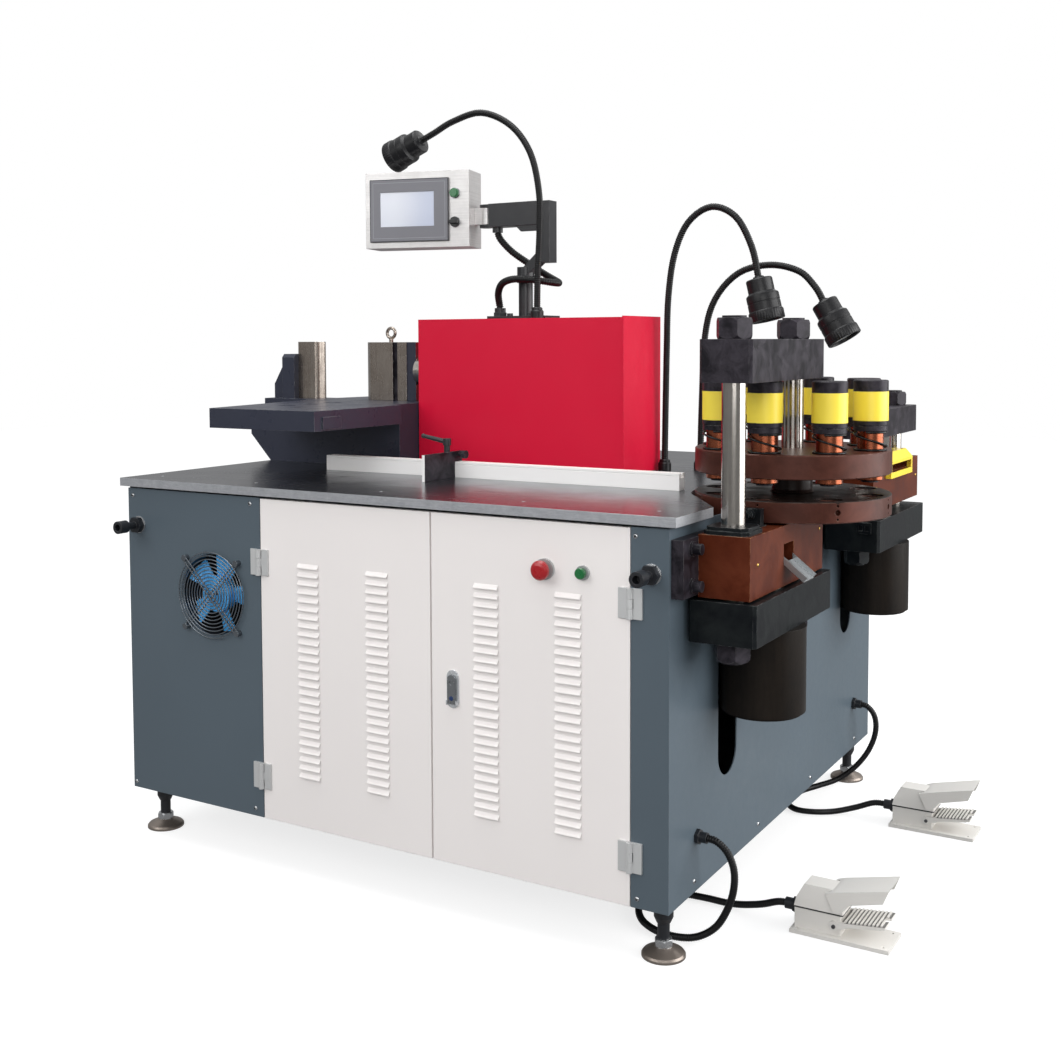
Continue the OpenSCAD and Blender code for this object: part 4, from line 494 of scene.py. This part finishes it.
# Worktop: one thick steel plate, surface-ground along its length, with bright milled edges and fine scratches.
# It lies on the cabinet's frame and is held by countersunk screws.
lay, lay_in, lay_out = shader_group("ground_lay", (("Stretch", "Vector", (3.0, 260.0, 260.0)), ("Scuff", "Float", 9.0)),
                                    (("Streak", "Float"), ("Scuff", "Float")))
where = add(lay, "ShaderNodeTexCoord").outputs["Object"]
drawn = add(lay, "ShaderNodeVectorMath", {0: where, 1: lay_in["Stretch"]}, operation="MULTIPLY")
streak = add(lay, "ShaderNodeTexNoise", {"Vector": drawn.outputs[0], "Scale": 1.0, "Detail": 5.0, "Roughness": 0.7})
scuff = add(lay, "ShaderNodeTexNoise", {"Vector": where, "Scale": lay_in["Scuff"], "Detail": 8.0, "Roughness": 0.7})
put_out(lay, lay_out, Streak=streak.outputs["Fac"], Scuff=scuff.outputs["Fac"])


def ground(name, dark, light, roughness, stretch, scuff=9.0, bump=0.08, metallic=1.0, edge_radius=0.0012, wear=None,
           shine=0.5):
    """Bare machined steel: streaks along the tool's path, handled patches and eased edges."""
    mat, tree, bsdf = blank(name, metallic, shine)
    body = add(tree, "ShaderNodeGroup", node_tree=lay)
    body.inputs["Stretch"].default_value = stretch
    body.inputs["Scuff"].default_value = scuff
    share = add(tree, "ShaderNodeMapRange", {"Value": body.outputs["Scuff"], "From Min": 0.3, "From Max": 0.7})
    lines = add(tree, "ShaderNodeMapRange", {"Value": body.outputs["Streak"], "From Min": 0.3, "From Max": 0.7})
    both = add(tree, "ShaderNodeMath", {0: share.outputs[0], 1: lines.outputs[0]}, operation="ADD")
    halved = add(tree, "ShaderNodeMath", {0: both.outputs[0], 1: 0.5}, operation="MULTIPLY")
    color = add(tree, "ShaderNodeMix", {0: halved.outputs[0], 6: dark, 7: light}, data_type="RGBA").outputs[2]
    color, eased_normal = rubbed(tree, edge_radius, color, wear)
    gloss = add(tree, "ShaderNodeMapRange", {"Value": halved.outputs[0], "To Min": roughness + 0.1,
                                             "To Max": roughness - 0.06})
    relief = add(tree, "ShaderNodeBump", {"Strength": bump, "Distance": 0.0004, "Height": body.outputs["Streak"],
                                          "Normal": eased_normal})
    link_up(tree, bsdf, color, gloss.outputs[0], relief)
    return mat


plate_steel = ground("plate_steel", screen_rgb(100, 102, 108), screen_rgb(148, 150, 156), 0.22, (4.0, 240.0, 240.0),
                     scuff=5.0, wear=screen_rgb(225, 228, 230))
edge_steel = ground("edge_steel", screen_rgb(164, 167, 173), screen_rgb(216, 218, 222), 0.34, (60.0, 60.0, 500.0),
                    scuff=30.0, metallic=0.7)
plate_low, plate_high = 0.8805, 0.8995
dress("worktop", plate_steel, (edge_steel, lambda x, y, z: (z < plate_high) & (z > plate_low)))

# Press: a bronzed steel block bolted to the cabinet's side, with a black mounting plate. Two polished columns
# slide through it and join the black top beam to the lower beam, which carries the oil cylinder. Small brass
# set screws sit in the right faces of this block and the shear's.
cast, cast_in, cast_out = shader_group("mill_scale", (("Scale", "Float", 30.0),),
                                       (("Blotch", "Float"), ("Height", "Float")))
here = add(cast, "ShaderNodeTexCoord").outputs["Object"]
clouds = add(cast, "ShaderNodeTexNoise", {"Vector": here, "Scale": cast_in["Scale"], "Detail": 7.0, "Roughness": 0.68,
                                          "Distortion": 0.6})
pits = add(cast, "ShaderNodeTexNoise", {"Vector": here, "Scale": 420.0, "Detail": 3.0})
cloud = add(cast, "ShaderNodeMapRange", {"Value": clouds.outputs["Fac"], "From Min": 0.38, "From Max": 0.66})
mixed = add(cast, "ShaderNodeMath", {0: cloud.outputs[0], 1: pits.outputs["Fac"]}, operation="ADD")
put_out(cast, cast_out, Blotch=cloud.outputs[0], Height=mixed.outputs[0])


def blackened(name, dark, light, roughness, scale=30.0, metallic=0.12, bump=0.12, wear=None, edge_radius=0.0015):
    """Oxide-blacked, bronzed or oiled steel: cloudy tones, small pits and bright worn edges."""
    mat, tree, bsdf = blank(name, metallic, shine=0.15)
    body = add(tree, "ShaderNodeGroup", node_tree=cast)
    body.inputs["Scale"].default_value = scale
    color = add(tree, "ShaderNodeMix", {0: body.outputs["Blotch"], 6: dark, 7: light}, data_type="RGBA").outputs[2]
    color, eased_normal = rubbed(tree, edge_radius, color, wear)
    gloss = add(tree, "ShaderNodeMapRange", {"Value": body.outputs["Blotch"], "To Min": roughness - 0.07,
                                             "To Max": roughness + 0.09})
    relief = add(tree, "ShaderNodeBump", {"Strength": bump, "Distance": 0.0006, "Height": body.outputs["Height"],
                                          "Normal": eased_normal})
    link_up(tree, bsdf, color, gloss.outputs[0], relief)
    return mat


bronzed = blackened("bronzed_block", screen_rgb(80, 31, 14), screen_rgb(104, 50, 30), 0.36, scale=9.0, metallic=0.2,
                    bump=0.05, wear=screen_rgb(190, 140, 100))
black_oxide = blackened("black_oxide", screen_rgb(26, 24, 29), screen_rgb(60, 56, 63), 0.38, scale=24.0,
                        wear=screen_rgb(120, 120, 120))
oiled = blackened("oiled_steel", screen_rgb(13, 16, 20), screen_rgb(27, 31, 32), 0.36, scale=16.0,
                  wear=screen_rgb(120, 124, 124))
oil_pot = ground("cylinder_black", screen_rgb(7, 6, 6), screen_rgb(40, 34, 29), 0.34, (26.0, 26.0, 3.0), scuff=7.0,
                 metallic=0.15, shine=0.15)
polished = ground("polished_column", screen_rgb(150, 145, 139), screen_rgb(200, 195, 189), 0.16, (120.0, 120.0, 4.0),
                  scuff=14.0, bump=0.03)
chute_zinc = coated("chute_zinc", screen_rgb(178, 182, 184), 0.34, metallic=0.7, patch=0.1)
block_lo, block_hi = at(765, -600, 733), at(873, -160, 858)
skin = 0.0005
dress("press_block", bronzed,
      (black_oxide, lambda x, y, z: (x < block_lo.x - skin) | ((x < block_lo.x + 0.03) & (y < block_lo.y - 0.002))),
      (chute_zinc, lambda x, y, z: x > block_hi.x + skin),
      (polished, lambda x, y, z: z < block_lo.z - skin),
      (oiled, lambda x, y, z: z > block_hi.z + skin))
dress("press_beam", black_oxide)
beam_top, yoke_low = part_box("press_beam")[1].z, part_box("press_yoke")[0].z
dress("press_columns", polished, (black_oxide, lambda x, y, z: (z > beam_top - 0.001) | (z < yoke_low + 0.001)))
dress("press_yoke", oiled)
dress("press_cylinder", oil_pot)
brass = ground("brass", screen_rgb(168, 128, 64), screen_rgb(214, 176, 104), 0.3, (40.0, 500.0, 500.0), scuff=40.0)
set_screw_spots = [((873, y, z), right) for y, z in ((-558, 799), (-181, 824), (645, 868), (262, 868))]
screws("block_set_screws", "base", 0.0042, set_screw_spots, brass)

# Turret: two turned discs on a hub round the rear column, bronzed brown. Punches stand in the upper disc on
# stripper springs, each with a black cap, a yellow sleeve, a black ring and a copper-coloured stem.
turned_brown, lathe, disc_shader = blank("turned_brown", metallic=0.3, shine=0.25)
turret_x, turret_y, station_r, disc_top = 819, -208, 172, 1003
axis = at(turret_x, turret_y, 0)
centred = add(lathe, "ShaderNodeVectorMath", {0: add(lathe, "ShaderNodeTexCoord").outputs["Object"], 1: tuple(-axis)},
              operation="ADD")
rings = add(lathe, "ShaderNodeTexWave", {"Vector": centred.outputs[0], "Scale": 130.0, "Distortion": 0.5,
                                         "Detail": 2.0}, wave_type="RINGS", rings_direction="Z")
scale_skin = add(lathe, "ShaderNodeGroup", node_tree=cast)
scale_skin.inputs["Scale"].default_value = 11.0
brown = add(lathe, "ShaderNodeMix", {0: scale_skin.outputs["Blotch"], 6: screen_rgb(66, 33, 24),
                                     7: screen_rgb(88, 49, 39)}, data_type="RGBA")
brown_worn, disc_normal = rubbed(lathe, 0.0014, brown.outputs[2], screen_rgb(170, 140, 125))
disc_gloss = add(lathe, "ShaderNodeMapRange", {"Value": rings.outputs["Fac"], "To Min": 0.3, "To Max": 0.44})
disc_relief = add(lathe, "ShaderNodeBump", {"Strength": 0.1, "Distance": 0.0003, "Height": rings.outputs["Fac"],
                                            "Normal": disc_normal})
link_up(lathe, disc_shader, brown_worn, disc_gloss.outputs[0], disc_relief)
dress("upper_disc", turned_brown)
disc_black = blackened("disc_black", screen_rgb(26, 20, 18), screen_rgb(46, 33, 29), 0.34, scale=20.0,
                       wear=screen_rgb(120, 100, 90))
hub_low = 0.9035
dress("lower_disc", turned_brown, (disc_black, lambda x, y, z: z > hub_low))

sleeve_yellow = coated("sleeve_yellow", screen_rgb(253, 228, 74), 0.42, wear=screen_rgb(90, 80, 50), patch=0.03,
                       smudge=0.1)
copper = ground("copper_stem", screen_rgb(120, 62, 42), screen_rgb(170, 100, 72), 0.26, (40.0, 40.0, 500.0), scuff=30.0)
spring_black = coated("spring_black", screen_rgb(22, 22, 24), 0.32, metallic=0.5, peel=900.0)
sleeve_low, sleeve_top, stem_low, stem_top = 1.0675, 1.1285, 0.9405, 1.0449
for number in range(1, 9):
    dress("punch_%d" % number, black_oxide, (sleeve_yellow, lambda x, y, z: (z > sleeve_low) & (z < sleeve_top)),
          (copper, lambda x, y, z: (z < stem_top) & (z > stem_low)))

coil, coil_in, coil_end = node_tree("stripper_spring", (
    ("Mean Radius", "Float", 0.0335), ("Wire Radius", "Float", 0.00225), ("Height", "Float", 0.0375),
    ("Turns", "Float", 2.5), ("Seat", "Vector", (0, 0, 0)), ("Wire", "Material", None)))
helix = add(coil, "GeometryNodeCurveSpiral", {"Resolution": 40, "Rotations": coil_in["Turns"],
                                              "Start Radius": coil_in["Mean Radius"],
                                              "End Radius": coil_in["Mean Radius"], "Height": 0.0})
climb = add(coil, "ShaderNodeMapRange", {"Value": add(coil, "GeometryNodeSplineParameter").outputs["Factor"],
                                         "From Min": 0.3, "From Max": 0.74, "To Max": coil_in["Height"]},
            interpolation_type="SMOOTHSTEP")
climbing = add(coil, "ShaderNodeCombineXYZ", {"Z": climb.outputs[0]})
closed = add(coil, "GeometryNodeSetPosition", {"Geometry": helix.outputs[0], "Offset": climbing.outputs[0]})
wire = add(coil, "GeometryNodeCurvePrimitiveCircle", {"Resolution": 10, "Radius": coil_in["Wire Radius"]})
wound = add(coil, "GeometryNodeCurveToMesh", {"Curve": closed.outputs[0], "Profile Curve": wire.outputs[0],
                                              "Fill Caps": True})
seated = add(coil, "GeometryNodeTransform", {"Geometry": wound.outputs[0], "Translation": coil_in["Seat"]})
soft_shade = add(coil, "GeometryNodeSetShadeSmooth", {"Geometry": seated.outputs[0]})
solid = add(coil, "GeometryNodeRealizeInstances", {"Geometry": soft_shade.outputs[0]})
dark_wire = add(coil, "GeometryNodeSetMaterial", {"Geometry": solid.outputs[0], "Material": coil_in["Wire"]})
coil.links.new(dark_wire.outputs[0], coil_end.inputs[0])
wire_lift = 2.3
for number in range(1, 9):
    angle = math.radians((number - 1) * 45 - 90)
    seat = at(turret_x + station_r * math.cos(angle), turret_y + station_r * math.sin(angle), disc_top + wire_lift)
    spring = grown("punch_spring_%d" % number, bpy.data.meshes.new("spring_seed"), coil,
                   **{"Mean Radius": 0.0337, "Wire Radius": 0.00225, "Height": 0.0374, "Turns": 2.25,
                      "Seat": tuple(seat), "Wire": spring_black})
    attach(spring, "turret")
    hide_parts("punch_springs")
    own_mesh(spring)

# Shear: a second bronzed block behind the turret with a slot for the bar, a black frame that pulls the blade
# down through it, and a yellow hood over the outlet. A stacked brown guide on the worktop feeds the slot.
shear_lo = at(765, 237, 810)
bracket_top, block_low, guide_low = 0.88, 0.7995, 0.8805
dress("shear_block", bronzed, (black_oxide, lambda x, y, z: (x < shear_lo.x - skin) & (z < bracket_top)),
      (polished, lambda x, y, z: z < block_low),
      (turned_brown, lambda x, y, z: (x < shear_lo.x - skin) & (z > guide_low)))
beam_low, column_top, column_low = 0.9895, 0.989, 0.7905
dress("shear_frame", oiled, (black_oxide, lambda x, y, z: z > beam_low),
      (polished, lambda x, y, z: (z < column_top) & (z > column_low)))
dress("shear_cylinder", oil_pot)
dress("shear_guard", coated("guard_yellow", screen_rgb(247, 216, 56), 0.34, wear=screen_rgb(150, 140, 100), coat=0.2))

# Bending unit: a welded bed painted dark grey, with a ground vee die against its buttress and a ram that
# slides out of the red cover. The cover is folded sheet with an end plate, painted crimson.
bed_paint = coated("bed_paint", screen_rgb(50, 53, 66), 0.36, wear=screen_rgb(140, 142, 146), patch=0.06, smudge=0.1,
                   peel=300.0, bump=0.1, shine=0.3)
die_steel = ground("die_steel", screen_rgb(122, 110, 101), screen_rgb(196, 186, 176), 0.24, (220.0, 220.0, 7.0),
                   scuff=16.0, wear=screen_rgb(240, 238, 232))
dress("bending_bed", bed_paint)
dress("bending_die", die_steel)
holder_x0, holder_x1, head_x0, shaft_x = (at(x, 0, 0).x for x in (-441, -422, -391, -360.5))
dress("bending_ram", die_steel, (black_oxide, lambda x, y, z: (x > holder_x0) & (x < holder_x1)),
      (bed_paint, lambda x, y, z: (x > head_x0) & (x < shaft_x)), (polished, lambda x, y, z: x >= shaft_x))
dress("bending_cylinder", oil_pot)
dress("cylinder_cover", coated("cover_crimson", screen_rgb(211, 22, 56), 0.36, patch=0.03, smudge=0.07, bump=0.05,
                               shine=0.22))

# Fence: a pale anodised rail on the worktop with a clamping groove, and a black length stop that slides on it,
# locked by a ratchet lever.
anodised = coated("anodised_rail", screen_rgb(247, 245, 243), 0.36, metallic=0.0, patch=0.03, smudge=0.06, peel=1200.0)
lever_black = coated("lever_black", screen_rgb(34, 35, 38), 0.36, wear=screen_rgb(110, 110, 112), peel=600.0)
stop_edge_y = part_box("stop_bracket")[0].y
dress("fence_rail", anodised)
stop_side_x, rail_top = at(-33.2, 0, 0).x, 0.939
dress("stop_bracket", black_oxide,
      (anodised, lambda x, y, z: (y < stop_edge_y + skin) | (x < stop_side_x) & (z > rail_top)))
dress("clamp_lever", lever_black)

# Screen: a brushed steel box on a swivelling arm over the cover, with a grey bezel, a display, a green button
# and a black selector. A corrugated conduit loops from the boom round the post to the cover.
box_steel = ground("box_steel", screen_rgb(188, 186, 185), screen_rgb(224, 222, 221), 0.34, (6.0, 6.0, 420.0),
                   scuff=12.0, metallic=0.6)
arm_paint = coated("arm_paint", screen_rgb(27, 28, 32), 0.36, wear=screen_rgb(120, 120, 122), peel=350.0, bump=0.12)
selector_black = coated("selector_black", screen_rgb(22, 22, 24), 0.34, peel=1500.0)
yaw = math.radians(14)
screen_mid = at(-300, -50, 1595)
outward_dir = Vector((math.sin(yaw), -math.cos(yaw), 0))


def on_display(x, y, z):
    """Faces of the display, set back in the bezel: depth, side-to-side and height limits in metres."""
    depth = (x - screen_mid.x) * outward_dir.x + (y - screen_mid.y) * outward_dir.y
    across = (x - screen_mid.x) * math.cos(yaw) + (y - screen_mid.y) * math.sin(yaw)
    return (depth < 0.0062) & (depth > 0.005) & (across > -0.105) & (across < 0.053) & (abs(z - 1.5965) < 0.0475)


def on_panel(tree):
    """Metres to the right of the screen's middle, and in from the bezel's edge, at a point of the panel."""
    moved = add(tree, "ShaderNodeVectorMath", {0: add(tree, "ShaderNodeTexCoord").outputs["Object"],
                                               1: tuple(-screen_mid)}, operation="ADD")
    level = add(tree, "ShaderNodeVectorRotate", {"Vector": moved.outputs[0], "Angle": -yaw}, rotation_type="Z_AXIS")
    part = add(tree, "ShaderNodeSeparateXYZ", {0: level.outputs[0]})
    margins = []
    for way, middle, reach in (("X", -0.021, 0.114), ("Z", -0.0015, 0.0845)):
        offset = add(tree, "ShaderNodeMath", {0: part.outputs[way], 1: middle}, operation="SUBTRACT")
        size = add(tree, "ShaderNodeMath", {0: offset.outputs[0]}, operation="ABSOLUTE")
        margins.append(add(tree, "ShaderNodeMath", {0: reach, 1: size.outputs[0]}, operation="SUBTRACT").outputs[0])
    return part.outputs["X"], add(tree, "ShaderNodeMath", {0: margins[0], 1: margins[1]},
                                  operation="MINIMUM").outputs[0]


bezel_grey = coated("bezel_grey", screen_rgb(116, 116, 122), 0.4, patch=0.03, peel=1600.0, bump=0.12)
face = bezel_grey.node_tree
face_shader = face.nodes["Principled BSDF"]
plain = face_shader.inputs["Base Color"].links[0].from_socket
inset = on_panel(face)[1]
rim = add(face, "ShaderNodeMath", {0: inset, 1: 0.0022}, operation="LESS_THAN")
rimmed = add(face, "ShaderNodeMix", {0: rim.outputs[0], 6: plain, 7: screen_rgb(46, 47, 51)}, data_type="RGBA")
groove = add(face, "ShaderNodeMath", {0: inset, 1: 0.0096, 2: 0.0005}, operation="COMPARE")
lined = add(face, "ShaderNodeMix", {0: groove.outputs[0], 6: rimmed.outputs[2], 7: screen_rgb(150, 152, 156)},
            data_type="RGBA")
face.links.new(lined.outputs[2], face_shader.inputs["Base Color"])
display = coated("display_glass", screen_rgb(200, 204, 214), 0.1, patch=0.12, smudge=0.03, peel=50.0, bump=0.0,
                 coat=1.0)
glass = display.node_tree
glass_shader = glass.nodes["Principled BSDF"]
# Painted sheen: the glass is painted pale blue-grey at its left, shading to a darker blue-grey at its right, as a
# reflection across it.
sheen = add(glass, "ShaderNodeMapRange", {"Value": on_panel(glass)[0], "From Min": -0.07, "From Max": 0.052},
            interpolation_type="SMOOTHSTEP")
painted_sheen_color = add(glass, "ShaderNodeMix", {0: sheen.outputs[0], 6: glass_shader.inputs["Base Color"].links[0].from_socket,
                                     7: screen_rgb(170, 178, 200)}, data_type="RGBA")
glass.links.new(painted_sheen_color.outputs[2], glass_shader.inputs["Base Color"])
dress("hmi_box", box_steel)
dress("hmi_panel", bezel_grey, (display, on_display))
ring_steel = coated("ring_steel", screen_rgb(150, 152, 155), 0.26, metallic=0.85, patch=0.08)
facing_out = outward_dir.to_track_quat("Z", "Y").to_matrix().to_4x4()
for name, up_by in (("screen_button_ring", 0.041), ("screen_selector_ring", -0.036)):
    collar_spot = screen_mid + Vector((0.110 * math.cos(yaw), 0.110 * math.sin(yaw), up_by))
    ring = turned(name, [(0, 0.2), (14.6, 0.2), (14.6, 1.4), (14, 2), (0, 2)],
                  Matrix.Translation(collar_spot) @ facing_out, ring_steel, segments=48)
    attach(ring, "screen")
dress("hmi_button", start_green)
dress("hmi_selector", selector_black)
dress("arm_base", arm_paint)
dress("arm_boom", arm_paint)
boom_z = 1545
conduit_points = [(-104, 50, boom_z - 14), (-96, 54, boom_z - 34), (-68, 66, boom_z - 66), (-30, 84, boom_z - 96),
                  (6, 98, boom_z - 122), (42, 98, boom_z - 142), (68, 80, boom_z - 152), (78, 50, boom_z - 154),
                  (66, 22, boom_z - 152), (30, 0, boom_z - 146), (-20, -8, boom_z - 144), (-60, 2, boom_z - 154),
                  (-84, 20, boom_z - 178), (-92, 38, boom_z - 206), (-92, 42, boom_z - 218)]
conduit = hose_along("screen_conduit", smooth_route(conduit_points, 6), 0.020, depth=0.002, pitch=0.006,
                     sheath=sheath_rubber, sides=16)
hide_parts("hmi_conduit")
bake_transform(conduit)

# Lamps: three flexible metal necks in black sheath, fixed to the cover and the worktop, each with a stepped
# black head whose front ring is fluted for grip round a set-back lens.
lamp_routes = [
    [(60, -20, 1323), (62, -20, 1417), (68, -20, 1527), (66, -20, 1627), (40, -20, 1727), (-20, -20, 1802),
     (-110, -20, 1842), (-200, -20, 1827), (-260, -20, 1802), (-300, -20, 1786)],
    [(352, 139, 926), (354, 139, 1060), (357, 139, 1220), (361, 139, 1350), (378, 139, 1460), (416, 139, 1540),
     (480, 139, 1576), (545, 139, 1548), (588, 139, 1472), (606, 139, 1396)],
    [(426, 200, 926), (430, 200, 1080), (438, 200, 1250), (466, 200, 1345), (530, 200, 1410), (614, 200, 1428),
     (690, 200, 1410), (732, 200, 1370), (752, 200, 1336)]]
lamp_black = coated("lamp_black", screen_rgb(14, 14, 17), 0.4, patch=0.06, peel=1500.0, bump=0.05, shine=0.35,
                    edge_radius=0.0003)
lamp_lens = coated("lamp_lens", screen_rgb(205, 208, 210), 0.2, patch=0.1, peel=160.0, bump=0.3, coat=0.6)
head_profile = [(0, 0), (13, 0), (15, 4), (31, 6), (33, 9), (33, 40), (36, 43), (40, 46), (41, 50), (41, 64), (40, 65),
                (40, 67), (41, 68), (41, 86), (43, 88), (44, 90), (44, 110.5), (42.5, 112), (37, 112), (35.5, 110),
                (35, 104), (0, 104)]
head_flutes, lens_z, lens_r = 40, 0.104, 0.034


def grip(r, h, a):
    """How deep the flutes of a head's front ring are cut, in millimetres."""
    return 0.9 * (0.5 + 0.5 * math.cos(head_flutes * a)) if 90 <= h <= 110.5 and r > 40 else 0.0


for number, points in enumerate(lamp_routes, 1):
    path = smooth_route(points, 5)
    neck = hose_along("lamp_neck_%d" % number, path, 0.018, depth=0.0012, pitch=0.0055, sheath=sheath_rubber)
    collar = turned("lamp_collar_%d" % number, [(0, -26), (17, -26), (17, -8), (14, -4), (14, 0), (11, 3), (0, 3)],
                    Matrix.Translation(at(*points[0])), lamp_black, segments=48)
    way = (at(*points[-1]) - at(*points[-2])).normalized()
    place = Matrix.Translation(at(*points[-1])) @ way.to_track_quat("Z", "Y").to_matrix().to_4x4()
    head = turned("lamp_head_%d" % number, head_profile, place, lamp_black, segments=head_flutes * 4, flute=grip)
    head.data.materials.append(lamp_lens)
    back_in = place.inverted()
    for face in head.data.polygons:
        spot = back_in @ face.center
        if abs(spot.z - lens_z) < 0.0004 and math.hypot(spot.x, spot.y) < lens_r:
            face.material_index = 1
    for piece in (neck, collar):
        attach(piece, "base")
        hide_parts("lamp_necks")
    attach(head, "base")
    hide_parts("lamp_heads")

# Pedals: pale painted castings that stand loose on the floor, each with a hood over a ribbed treadle.
# The treadle turns on a cross pin, and the hood sits on the body over a dark gasket.
pedal_paint = coated("pedal_paint", screen_rgb(224, 221, 216), 0.44, wear=screen_rgb(140, 139, 137), patch=0.04,
                     peel=260.0, bump=0.2, edge_radius=0.0006)
treadle_paint = coated("treadle_paint", screen_rgb(222, 219, 214), 0.5, wear=screen_rgb(140, 139, 137), patch=0.05,
                       peel=260.0, bump=0.2, edge_radius=0.0006)
gasket = coated("gasket_grey", screen_rgb(22, 22, 24), 0.6)
pin_steel = coated("pin_steel", screen_rgb(90, 90, 92), 0.35, metallic=0.8, patch=0.1)


def on_pedals(test):
    """Tests faces in each pedal's own millimetres, from the corner of its plate."""
    corners, middle_y, reach_y = [at(884, -390, 0), at(903, 303, 0)], 0.049, 0.06

    def on_either(x, y, z):
        return sum(test((x - c.x) * 1000, (y - c.y) * 1000, z * 1000) & (abs(y - c.y - middle_y) < reach_y)
                   for c in corners) > 0

    return on_either


dress("pedal_bases", pedal_paint, (gasket, on_pedals(lambda x, y, z: (z > 49.6) & (z < 53.5) & (x > -1) & (x < 112))),
      (socket_black, on_pedals(lambda x, y, z: (x < 5.5) & (x > -30) & (z > 20) & (z < 60))),
      (pin_steel, on_pedals(lambda x, y, z: (abs(x - 92) < 4.2) & (abs(z - 30) < 4.2))))
# The plate's faces between the treadle's ribs are painted darker: painted shade in the grooves between the ribs.
painted_groove_shade = coated("painted_groove_shade", screen_rgb(112, 111, 108), 0.6, patch=0.2)
grooves = on_pedals(lambda x, y, z: (abs(z - 40.5 - (x - 108) * 0.1167) < 0.35) & (x > 108) & (x < 197))
dress("treadle_front", treadle_paint, (painted_groove_shade, grooves))
dress("treadle_rear", treadle_paint, (painted_groove_shade, grooves))
